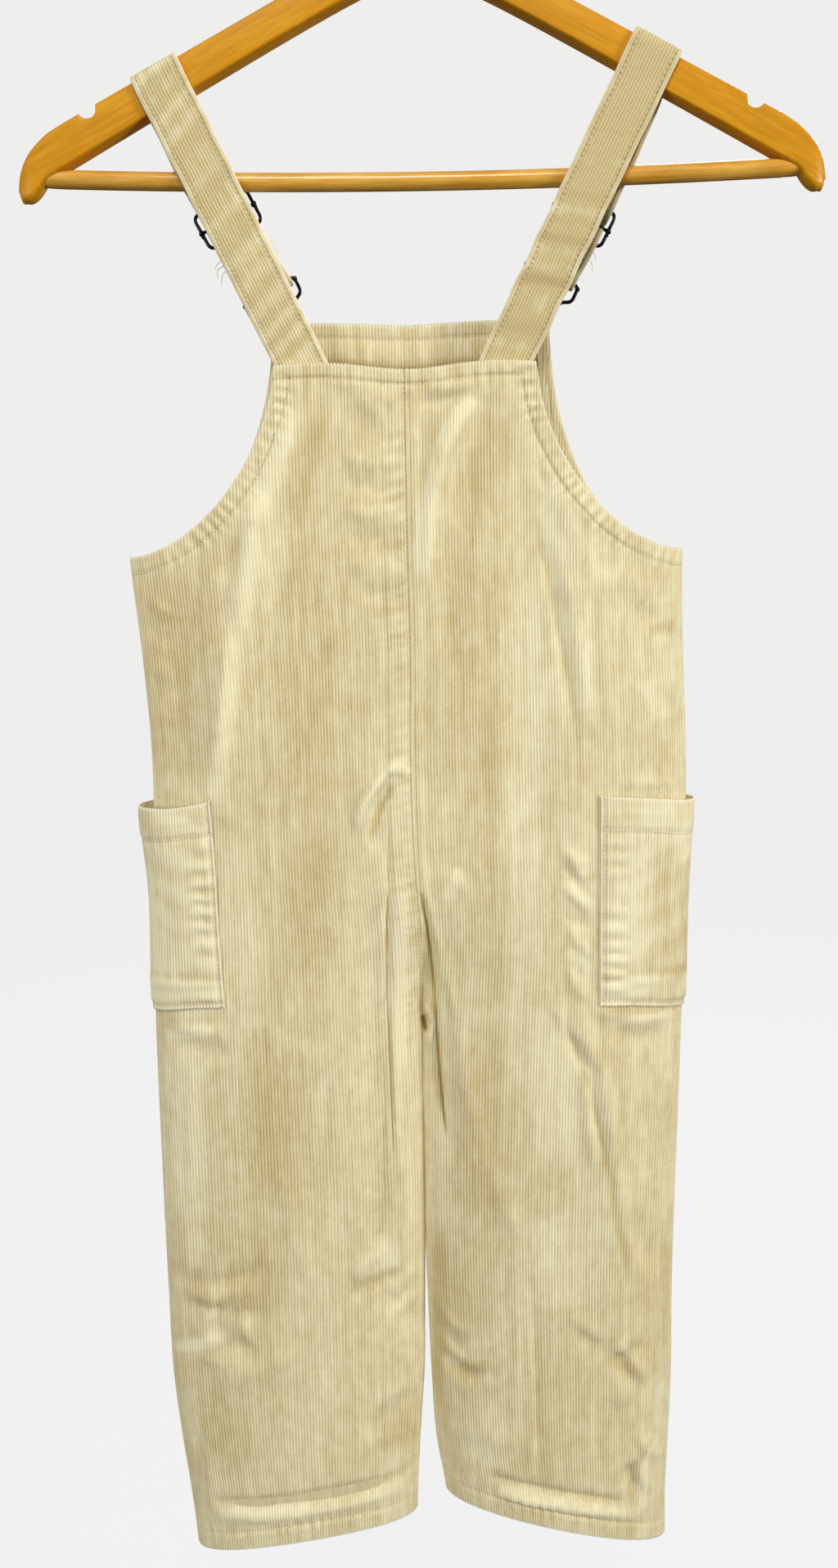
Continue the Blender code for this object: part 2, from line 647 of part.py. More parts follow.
def make_buckle(side):
    """A wire buckle: a bar that the strap goes round, shoulders that turn in to a waist, and sides that close to the button's loop."""
    bar_down = np.hypot(*strap_lines(side)[3])
    half_width = STRAP_WIDTH / 2 + BUCKLE_OVERHANG
    outline = [
        (half_width, bar_down),
        (half_width, bar_down + BUCKLE_SHOULDER),
        (BUCKLE_WAIST / 2, bar_down + BUCKLE_SHOULDER + BUCKLE_WAIST_DROP),
        (BUCKLE_NECK / 2, bar_down + BUCKLE_HEIGHT),
    ]
    loop = rounded_loop(outline, BUCKLE_CORNER)
    share = (loop[:, 1] - bar_down) / BUCKLE_HEIGHT
    stem_y = button_place(side)[1] + LAYER_GAP + WIRE_RADIUS + 0.5
    y = BAR_Y + (stem_y - BAR_Y) * np.clip(share * 1.6, 0, 1)
    add_wire(f"buckle_{side}", strap_place(side, loop[:, 0], loop[:, 1], y), WIRE_RADIUS, "gunmetal", closed=True)


def make_button(side, sides=20):
    """A turned button: a stem, and a cap with a rolled rim and a shallow dish."""
    x, y, z = button_place(side)
    start = y + LAYER_GAP
    cap = start + 2 * WIRE_RADIUS + 1.4
    profile = np.array([
        (0.0, start),
        (BUTTON_STEM_RADIUS, start),
        (BUTTON_STEM_RADIUS, cap),
        (BUTTON_RADIUS - 0.8, cap),
        (BUTTON_RADIUS, cap + BUTTON_THICKNESS * 0.35),
        (BUTTON_RADIUS - 0.6, cap + BUTTON_THICKNESS * 0.85),
        (BUTTON_RADIUS - 1.8, cap + BUTTON_THICKNESS),
        (BUTTON_RADIUS - 3.2, cap + BUTTON_THICKNESS * 0.7),
        (0.0, cap + BUTTON_THICKNESS * 0.62),
    ])
    turn = 2 * np.pi * np.arange(sides) / sides
    rings = profile[1:-1]
    points = [(x, profile[0, 1], z)]
    for radius, depth in rings:
        points += [(x + radius * np.cos(a), depth, z + radius * np.sin(a)) for a in turn]
    points.append((x, profile[-1, 1], z))
    last = len(points) - 1
    faces = []
    for i in range(sides):
        following = (i + 1) % sides
        faces.append([0, 1 + i, 1 + following])
        faces.append([last, last - sides + i, last - sides + following])
        for ring in range(len(rings) - 1):
            here, ahead = 1 + ring * sides, 1 + (ring + 1) * sides
            faces.append([here + i, here + following, ahead + following, ahead + i])
    add_object(f"button_{side}", points, faces, "gunmetal")


# ---------------------------------------------------------------- hanger


def arm_outline(sign):
    """One arm's outline from the crest down to the tip and back along the underside, in (x, z)."""
    crest = np.array([0, 5, 10, 16, 24, 40, 120], float)
    slope_angle = np.degrees(np.arctan(ARM_TOP[1]))
    angles = np.radians(np.linspace(180 - slope_angle, 360 - slope_angle, 7))
    notch_z = arm_top(NOTCH_X)
    notch = [(NOTCH_X + NOTCH_RADIUS * np.cos(a), notch_z + NOTCH_RADIUS * np.sin(a)) for a in angles]
    start = np.array(notch[-1])
    control, end = (np.array(p) for p in HANGER_END)
    t = np.linspace(0, 1, 9)[1:, None]
    curve = start * (1 - t) ** 2 + 2 * control * t * (1 - t) + end * t**2
    height, slope, rounding = ARM_UNDERSIDE
    below = np.array([ARM_UNDERSIDE_END, 120, 50, 34, 22, 12, 5, 0], float)
    underside = np.stack([below, height - slope * np.sqrt(below**2 + rounding**2)], axis=1)
    top = [(x, arm_top(x)) for x in crest]
    outline = np.array(top + notch + list(curve) + list(HANGER_TIP) + list(underside))
    return outline * (sign, 1)


def make_hanger_body():
    """Both arms in one board: the outline drawn through the board's thickness, with rounded edges and bored seats."""
    right = arm_outline(1)
    top_count = len(right) - 8
    left_top = arm_outline(-1)[1:top_count][::-1]
    left_under = arm_outline(-1)[top_count:-1][::-1]
    outline = np.concatenate([left_top, right, left_under])
    half = HANGER_THICKNESS / 2
    count = len(outline)
    points = np.concatenate([np.stack([outline[:, 0], np.full(count, y), outline[:, 1]], axis=1) for y in (-half, half)])
    faces = [[i, (i + 1) % count, (i + 1) % count + count, i + count] for i in range(count)]
    faces += [list(range(count)), list(range(count, 2 * count))]
    board = add_object("hanger_body", points, faces, "wood", sharp=35)
    bevel = board.modifiers.new("Rounded edges", "BEVEL")
    bevel.width = ARM_EDGE_RADIUS * MM
    bevel.segments = 2
    bevel.limit_method = "ANGLE"
    bevel.angle_limit = np.radians(60)
    seat = BAR_RADIUS + BORE_CLEARANCE
    for sign, side in ((-1, "left"), (1, "right")):
        start_x, start_z = BAR_SEAT_START
        ends = np.array([(sign * (BAR_END_X + BORE_CLEARANCE), 0, BAR_END_Z), (sign * start_x, 0, start_z)])
        cutter = add_wire(f"bar_seat_{side}", ends, seat, "wood", sides=20)
        join_by_boolean(board, cutter, "DIFFERENCE")
    crest = float(arm_top(0))
    ends = np.array([(0, 0, crest - HOOK_SHANK_DEPTH - BORE_CLEARANCE), (0, 0, crest + HOOK_SEAT_RISE)])
    cutter = add_wire("hook_seat", ends, HOOK_WIRE_RADIUS + BORE_CLEARANCE, "wood", sides=16)
    join_by_boolean(board, cutter, "DIFFERENCE")


def make_hanger_bar():
    """The trouser bar: a dowel that sags a little in its middle."""
    x = np.linspace(-BAR_END_X, BAR_END_X, 15)
    z = BAR_END_Z - BAR_SAG * (1 - (x / BAR_END_X) ** 2)
    add_wire("hanger_bar", np.stack([x, 0 * x, z], axis=1), BAR_RADIUS, "wood", sides=16)


def make_hook():
    """Wire hook: a shank up from the crest, a bend out to one side, and a round crook over the origin."""
    radius = HOOK_INNER_RADIUS + HOOK_WIRE_RADIUS
    centre_z = -HOOK_INNER_RADIUS
    foot = float(arm_top(0)) - HOOK_SHANK_DEPTH
    shank = [(0, foot)] + [(0, centre_z - radius - rise) for rise in SHANK_TOPS]
    angles = np.radians(np.linspace(*HOOK_TURN, 21))
    crook = [(radius * np.cos(a), centre_z + radius * np.sin(a)) for a in angles]
    neck_start, neck_end = np.array(shank[-1]), np.array(crook[0])
    t = np.linspace(*HOOK_BEND_SPAN, 5)[:, None]
    bend = np.array([HOOK_BEND[0], centre_z - radius - HOOK_BEND[1]])
    neck = neck_start * (1 - t) ** 2 + 2 * bend * t * (1 - t) + neck_end * t**2
    line = np.array(shank + list(neck) + crook)
    add_wire("hanger_hook", np.stack([line[:, 0], 0 * line[:, 0], line[:, 1]], axis=1), HOOK_WIRE_RADIUS, "steel", sides=10)


# ---------------------------------------------------------------- the whole object


def main():
    for obj in list(bpy.data.objects):
        bpy.data.objects.remove(obj)
    make_panels()
    make_facing()
    for side in SIDE_SIGN:
        make_pocket(side)
        make_strap(side)
        make_slider(side)
        make_buckle(side)
        make_button(side)
    make_hanger_body()
    make_hanger_bar()
    make_hook()


main()
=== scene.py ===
"""Looks of a child's corduroy bib overalls on a varnished wooden hanger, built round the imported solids.

Tables and shapes are in millimetres: X across, Y from the garment's back (-Y) to its front (+Y), Z up from
the inside of the hanger's hook. Every cloth piece is a thin shell: an outer face whose wales are real ridges,
a plainer inner face, and a rounded rim between them. The shells follow the same sections, folds, edges and
strap lines as the solids that they stand for, with the small creases, bands and puckers added.
"""

import bpy
import numpy as np
from mathutils import Matrix


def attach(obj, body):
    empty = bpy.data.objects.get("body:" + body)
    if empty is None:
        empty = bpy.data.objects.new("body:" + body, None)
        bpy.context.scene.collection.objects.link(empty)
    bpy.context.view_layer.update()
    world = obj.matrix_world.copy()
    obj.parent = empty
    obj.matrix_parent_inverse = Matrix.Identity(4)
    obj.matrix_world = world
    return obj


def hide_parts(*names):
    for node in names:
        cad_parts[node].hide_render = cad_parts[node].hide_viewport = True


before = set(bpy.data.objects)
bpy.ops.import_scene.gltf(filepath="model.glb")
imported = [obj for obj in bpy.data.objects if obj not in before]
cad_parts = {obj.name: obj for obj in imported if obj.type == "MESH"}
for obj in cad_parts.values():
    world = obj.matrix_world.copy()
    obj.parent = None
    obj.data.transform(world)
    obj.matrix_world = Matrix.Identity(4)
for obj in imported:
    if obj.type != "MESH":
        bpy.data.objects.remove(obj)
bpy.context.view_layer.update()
MM = 0.001
BODY = "root"
SIDE_SIGN = {"left": -1, "right": 1}
LAYER_SIGN = {"back": -1, "front": 1}

# ---------------------------------------------------------------- sizes: cloth and cut

WALE_PITCH = 1.8
WALE_HEIGHT = 0.40
WALE_FULLNESS = 0.8
STEPS_PER_WALE = 3
CLOTH = 1.5
POCKET_CLOTH = 1.4
FACING_CLOTH = 1.2
STRAP_THICKNESS = 2.4
STRAP_WIDTH = 28.0
RIM_RADIUS = 1.1
TOOTH = 0.9
LAYER_GAP = 0.5
CONTACT_GAP = LAYER_GAP * 0.4
WIRE_GAP = 0.8

SECTION_COLUMNS = ("z", "left_side", "right_side", "left_inner", "right_inner", "depth")
SECTIONS = (
    (-255, -172.5, 149.0, -10.1, -10.9, 9.6),
    (-391, -173.5, 148.0, -10.1, -10.9, 13.5),
    (-445, -170.0, 150.0, -9.6, -10.4, 15.5),
    (-505, -168.0, 153.5, -10.6, -11.4, 17.5),
    (-570, -170.5, 155.0, -9.6, -10.4, 19.5),
    (-625, -174.0, 155.5, -6.5, -7.5, 21.0),
    (-681, -176.5, 156.0, -7.4, -8.8, 22.0),
    (-705, -177.2, 155.9, -7.5, -8.9, 22.0),
    (-770, -178.5, 155.5, -7.5, -8.9, 22.0),
    (-822, -179.5, 155.2, -7.8, -8.8, 22.0),
    (-870, -180.1, 155.3, -8.9, -8.0, 22.0),
    (-930, -180.5, 156.5, -10.2, -6.4, 22.5),
    (-985, -177.0, 156.0, -14.0, -3.5, 23.5),
    (-1025, -173.5, 155.0, -16.2, 2.4, 24.0),
    (-1067, -171.0, 156.0, -17.2, 4.6, 24.0),
)
FLATNESS = 4.0
ROUNDNESS = 2.2
CROTCH_Z = -681
CROTCH_RISE = 110
CROTCH_SWEEP = 1.3
CROTCH_REACH = 12
SIDE_TOP_Z = -391
CENTRE_X = -10.5
BODY_SECTION_Z = -520.0
LEG_SECTION_Z = -860.0
LEG_BLEND = (-520.0, -800.0)

BIB_COLUMNS = ("left_reach", "right_reach", "top_z", "dip", "across_power", "down_power")
BIBS = {
    "back": (75.0, 72.5, -286.5, 4.5, 1.75, 1.70),
    "front": (76.5, 81.0, -262.5, 2.0, 2.00, 1.85),
}
BIB_DIP_WIDTH = 30
BIB_CORNER_DROP = 1.5
HEMS = {"left": (-1040, -1065, 1.6), "right": (-1025, -1064, 1.1)}

# A soft line of a table: both its ends, how far its middle bows, its size and its half width.
LINE_COLUMNS = ("start_x", "start_z", "end_x", "end_z", "bow", "size", "width")

# Folds and creases: the size is how far the cloth stands out along the line, or in where negative. The first
# rows of each layer are the largest.
FOLDS = {
    "back": (
        (-98, -340, -136, -545, 4, 4, 15), (-146, -405, -152, -530, 0, -2.5, 15), (20, -296, -6, -410, 2, 1.6, 9),
        (54, -312, 52, -570, 3, -2, 15), (89, -318, 82, -600, -3, 2.4, 15), (-24, -575, -25, -850, 3, 2.8, 9),
        (-37, -590, -39, -842, 3, -2.8, 8), (1, -672, 10, -775, 1, -4.5, 7), (18, -640, 24, -800, 2, 2, 10),
        (96, -675, 114, -910, -8, 3.4, 13), (128, -730, 136, -860, -3, -2.2, 12),
        (104, -893, 140, -948, -3, -1.8, 8), (113, -950, 136, -915, 3, 2.2, 8),
        (-170, -862, -110, -915, 4, -2.4, 9), (-150, -930, -92, -905, -3, 2.2, 10),
        (-40, -860, -10, -893, 2, -2.2, 8), (-12, -880, 30, -932, 3, -2.4, 8), (131, -975, 147, -1045, 2, 2.4, 8),
        # small creases
        (-159, -1022, -100, -1015, 1, -3, 3.6), (-111, -1018, -19, -1005, -1, -3.4, 3.6),
        (-158, -1031, -89, -1025, 1, 2.6, 4.2), (-106, -1027, -22, -1014, -1, 3, 4.2),
        (31, -1003, 83, -1015, 1, -3.2, 3.6), (72, -1014, 126, -1028, -1, -3.4, 3.6),
        (35, -1014, 88, -1025, 1, 2.8, 4.2), (77, -1024, 139, -1038, -1, 2.8, 4.2),
        (149, -976, 134, -999, 3, 2, 4.4), (134, -995, 136, -1036, -3, 2, 4.4),
        (125, -989, 128, -1026, -2, -2, 4.4), (-166, -979, -165, -1026, 0, 2.2, 3),
        (-8, -588, 0, -664, -2, -3.4, 2), (0, -659, 7, -755, 2, -3.8, 2), (-5, -666, 0, -679, 1, 2.2, 1.3),
        (0, -678, -3, -695, 1, 2.2, 1.3), (-6, -675, -5, -687, 0, -4, 1.6), (-5, -590, 4, -664, -2, 1.6, 2.6),
        (5, -660, 12, -755, 2, 1.8, 2.8), (-28, -592, -30, -666, 0, -1.8, 1.8),
        (-29, -660, -28, -774, 0, -2.4, 1.8), (-23, -595, -24, -771, 0, 1.2, 3), (61, -340, 67, -358, 0, -1.2, 3),
        (81, -358, 98, -381, 0, 1.3, 4), (79, -566, 94, -575, 2, 1.5, 3), (78, -606, 94, -615, 2, -1.5, 2.6),
        (79, -639, 96, -652, 2, 1.5, 3), (-74, -312, -93, -355, 0, 2.7, 6), (-92, -351, -113, -432, 0, 3.5, 6),
        (-113, -427, -128, -518, 0, 2.7, 6), (-105, -382, -124, -446, 0, -2, 8), (26, -307, 1, -363, 3, 3, 5.5),
        (2, -357, -4, -420, 0, 2.7, 5), (38, -305, 17, -379, 3, -1.8, 9), (17, -375, 11, -448, 0, -1.5, 9),
        (54, -331, 102, -424, -4, 1.5, 8), (63, -376, 84, -502, -3, -2.2, 5), (72, -380, 92, -500, -3, 1.8, 5),
        (98, -399, 104, -498, 0, 1.9, 5), (122, -420, 146, -440, 3, -2.6, 7), (104, -402, 124, -422, -3, 1.8, 7),
        (130, -460, 148, -489, -3, 2.2, 8), (-12, -518, -28, -515, 1, 2.8, 2.6),
        (-24, -514, -46, -552, 3, 3.6, 2.9), (-22, -525, -38, -562, 2, -2.9, 3.2),
        (-34, -540, -48, -575, -2, 1.4, 4), (-26, -546, -28, -645, 0, -1.8, 1.6),
        (-30, -640, -36, -814, 0, -1.9, 2.2), (-17, -585, -18, -701, 0, 1.6, 4.5),
        (-5, -616, -2, -669, 0, -2.7, 3), (-6, -674, 6, -746, 1, -4.1, 4), (-9, -666, -5, -686, 0, -8.1, 2.8),
        (4, -622, 14, -682, 1, 2.2, 4), (14, -680, 22, -748, 0, 1.9, 5), (-12, -640, -16, -690, 0, 1.9, 3),
        (79, -671, 96, -709, 2, -2.4, 3.5), (96, -704, 107, -776, 1, -2.2, 3.5),
        (107, -771, 123, -859, -1, -1.9, 4), (88, -664, 106, -712, 3, 1.9, 4.5),
        (104, -704, 116, -776, 1, 1.8, 4.5), (72, -661, 90, -690, 2, 1.8, 4), (90, -700, 99, -776, 1, 1.2, 4.5),
        (-171, -855, -109, -839, 5, -2.2, 5), (-168, -866, -120, -853, 4, 2, 4),
        (-162, -895, -146, -859, 1, 2.7, 3.6), (-168, -870, -140, -874, 1, -1.9, 3.4),
        (-150, -874, -111, -872, 2, -1.8, 4), (-158, -898, -124, -884, 3, 1.9, 3.8),
        (-130, -868, -122, -900, 2, 1.6, 3.4), (-160, -908, -140, -914, 1, 1.5, 3.2),
        (-60, -867, -20, -850, -3, -3, 4), (-56, -852, -32, -828, -2, 2.2, 6), (-30, -884, -12, -866, 0, 3, 3),
        (-36, -876, -14, -860, 1, -2.4, 3), (-28, -905, -12, -912, 1, -1.8, 3), (-22, -856, -11, -848, 1, 2, 2.6),
        (-52, -972, -15, -947, -4, -2.4, 7), (-38, -942, -14, -930, 2, 2, 3), (-30, -957, -13, -950, 1, 1.6, 2.6),
        (-4, -904, 28, -930, 6, -2.3, 4.8), (-5, -874, 20, -911, 6, -1.9, 3.8), (0, -896, 30, -920, 6, 2.4, 4),
        (-4, -866, 22, -896, 6, 2, 3.5), (11, -961, 55, -974, 4, 1.8, 9), (81, -876, 114, -901, 2, 1.2, 5),
        (84, -886, 110, -908, 2, -1, 5), (114, -901, 136, -938, -3, 2.4, 4), (108, -908, 128, -942, -3, -2.4, 4),
        (109, -913, 135, -889, 2, 2, 3.5), (112, -921, 140, -900, 2, -1.8, 3.5),
        (125, -806, 140, -853, 2, -2.2, 6), (118, -800, 132, -858, 2, 1.6, 5), (79, -566, 93, -584, 2, 1.3, 3.4),
        (79, -575, 93, -594, 2, -1.1, 3.4), (79, -587, 97, -604, 2, 1.3, 3.2), (83, -600, 97, -616, 2, -1, 3.4),
        (81, -613, 97, -633, 2, 1.2, 3.3), (82, -636, 96, -654, 2, -1.2, 3.7), (80, -644, 98, -662, 2, 1.2, 3.7),
        (107, -524, 150, -527, 2, 1.4, 4), (95, -668, 150, -677, 2, 1.9, 4.5), (105, -682, 146, -691, 2, -1.9, 5),
        (-9, -303, -25, -330, 2, -1.9, 4), (-41, -304, -23, -321, -2, 1.6, 5), (-54, -296, -12, -313, -3, 1.2, 5),
        (-48, -338, -14, -341, 1, 1.4, 4), (-48, -352, -16, -354, 1, -1.2, 4.5),
        (-50, -366, -14, -369, 1, 1.5, 4.5), (-48, -381, -16, -383, 1, -1.2, 4.5),
        (-48, -396, -13, -398, 1, 1.2, 4.5), (-44, -412, -14, -414, 1, -1.1, 4.5), (0, -301, 36, -294, 3, 1.6, 4),
        (-5, -309, 22, -303, 2, -1.4, 3.6), (60, -851, 66, -1020, 0, -1.8, 3), (48, -780, 52, -980, 1, 0.9, 3.6),
        (129, -970, 156, -1002, 3, 2.4, 3.5), (121, -995, 150, -1035, 3, -2.1, 4.4),
        (112, -1004, 148, -968, 3, 1.9, 3.5), (-163, -969, -164, -1030, 0, -3.2, 2.8),
        (-158, -975, -158, -1030, 0, 1.9, 4), (-22, -998, -16, -1018, 1, -3, 2.4),
        (-26, -1010, -15, -1006, 1, 2.2, 2), (3, -992, 11, -1012, 1, -2.4, 2.6),
        (-108, -372, -124, -402, -4, -1.6, 4.5), (-166, -414, -146, -424, 1, 1.6, 4.5),
        (-165, -430, -150, -440, 1, -1.4, 4.5), (-165, -451, -148, -462, 1, 1.4, 4.5),
        (-164, -478, -150, -486, 1, 1.2, 4.5), (-170, -674, -128, -678, 2, 1.9, 4),
        (-166, -686, -124, -692, 2, -1.5, 5), (10, -580, 22, -592, 1, 1, 3.2), (12, -574, 27, -583, 1, -0.9, 3.4),
        (-96, -676, -58, -690, 2, -1.1, 5), (-150, -700, -158, -770, 2, 1.5, 6),
        (-158, -720, -164, -800, 2, -1.4, 5), (-100, -760, -84, -860, 2, 1.2, 6),
        (-70, -700, -66, -830, 1, -1.1, 6), (30, -760, 50, -820, 2, 1.1, 5),
    ),
    "front": (
        (84, -345, 118, -560, -4, 3.6, 15), (135, -420, 141, -560, 0, -2.2, 14),
        (-62, -300, -58, -520, 4, -2.2, 15), (-100, -372, -92, -610, -4, 2.6, 14),
        (22, -300, 30, -480, 3, 1.8, 13), (16, -600, 22, -860, -3, 2.8, 9), (29, -612, 36, -840, -3, -2.6, 9),
        (-30, -655, -42, -810, 3, 2.2, 11), (-110, -700, -128, -930, 7, 3.2, 14),
        (-146, -760, -152, -900, 2, -2.2, 12), (-120, -905, -164, -968, 4, -2.6, 9),
        (60, -868, 118, -925, 4, -2.6, 9), (-60, -880, -14, -930, -4, -2.2, 9),
        (-160, -1026, -30, -1008, 5, -3.2, 7), (16, -1004, 140, -1038, -6, -3.2, 7),
        (90, -960, 104, -1040, 2, 2.4, 9),
        # small creases
        (70, -280, 96, -330, 3, 1.5, 4), (-92, -290, -110, -345, -3, 1.5, 4),
        (-30, -290, -16, -318, 2, -1.2, 3.5), (10, -288, 40, -300, 3, 1.2, 3.5),
        (110, -400, 120, -520, 3, -1.8, 4), (102, -392, 112, -515, 3, 1.5, 3.4),
        (-140, -402, -112, -412, 2, 1.4, 3.4), (-136, -420, -104, -436, 2, -1.2, 3.8),
        (-14, -500, 2, -520, 1, 1.7, 2.8), (4, -516, 22, -542, 1, 1.8, 3), (-20, -588, -36, -604, 2, 1.4, 2.8),
        (-84, -560, -110, -590, -3, 1.4, 3.2), (-90, -600, -112, -640, -3, -1.5, 3.4),
        (78, -560, 96, -600, 3, 1.2, 3.4), (70, -640, 98, -690, 4, -1.2, 3.6), (-30, -684, -22, -740, 1, -2.4, 3),
        (0, -690, 8, -740, 1, -2.1, 3), (-168, -676, -120, -680, 2, 1.5, 3.6),
        (106, -672, 150, -676, 2, 1.5, 3.6), (120, -868, 150, -876, 1, 1.7, 3),
        (112, -886, 148, -900, -2, -1.7, 3.2), (84, -900, 118, -892, 2, 1.4, 3.4),
        (-34, -880, -14, -868, 1, 1.8, 2.6), (10, -900, 30, -886, 1, 1.7, 2.8), (12, -916, 34, -926, -2, -1.5, 3),
        (-140, -890, -118, -906, 2, 1.7, 3), (-156, -930, -134, -946, -3, -1.8, 3),
        (-60, -940, -36, -956, 2, 1.2, 3.4), (118, -960, 144, -980, -3, -1.2, 3.4),
        (-158, -1036, -30, -1016, 5, 2.4, 3.6), (20, -1012, 138, -1046, -6, 2.4, 3.6),
        (50, -760, 58, -960, -2, -1.2, 3.6), (-70, -750, -76, -930, 2, 1.2, 5), (80, -740, 84, -860, 2, 1, 6),
    ),
}

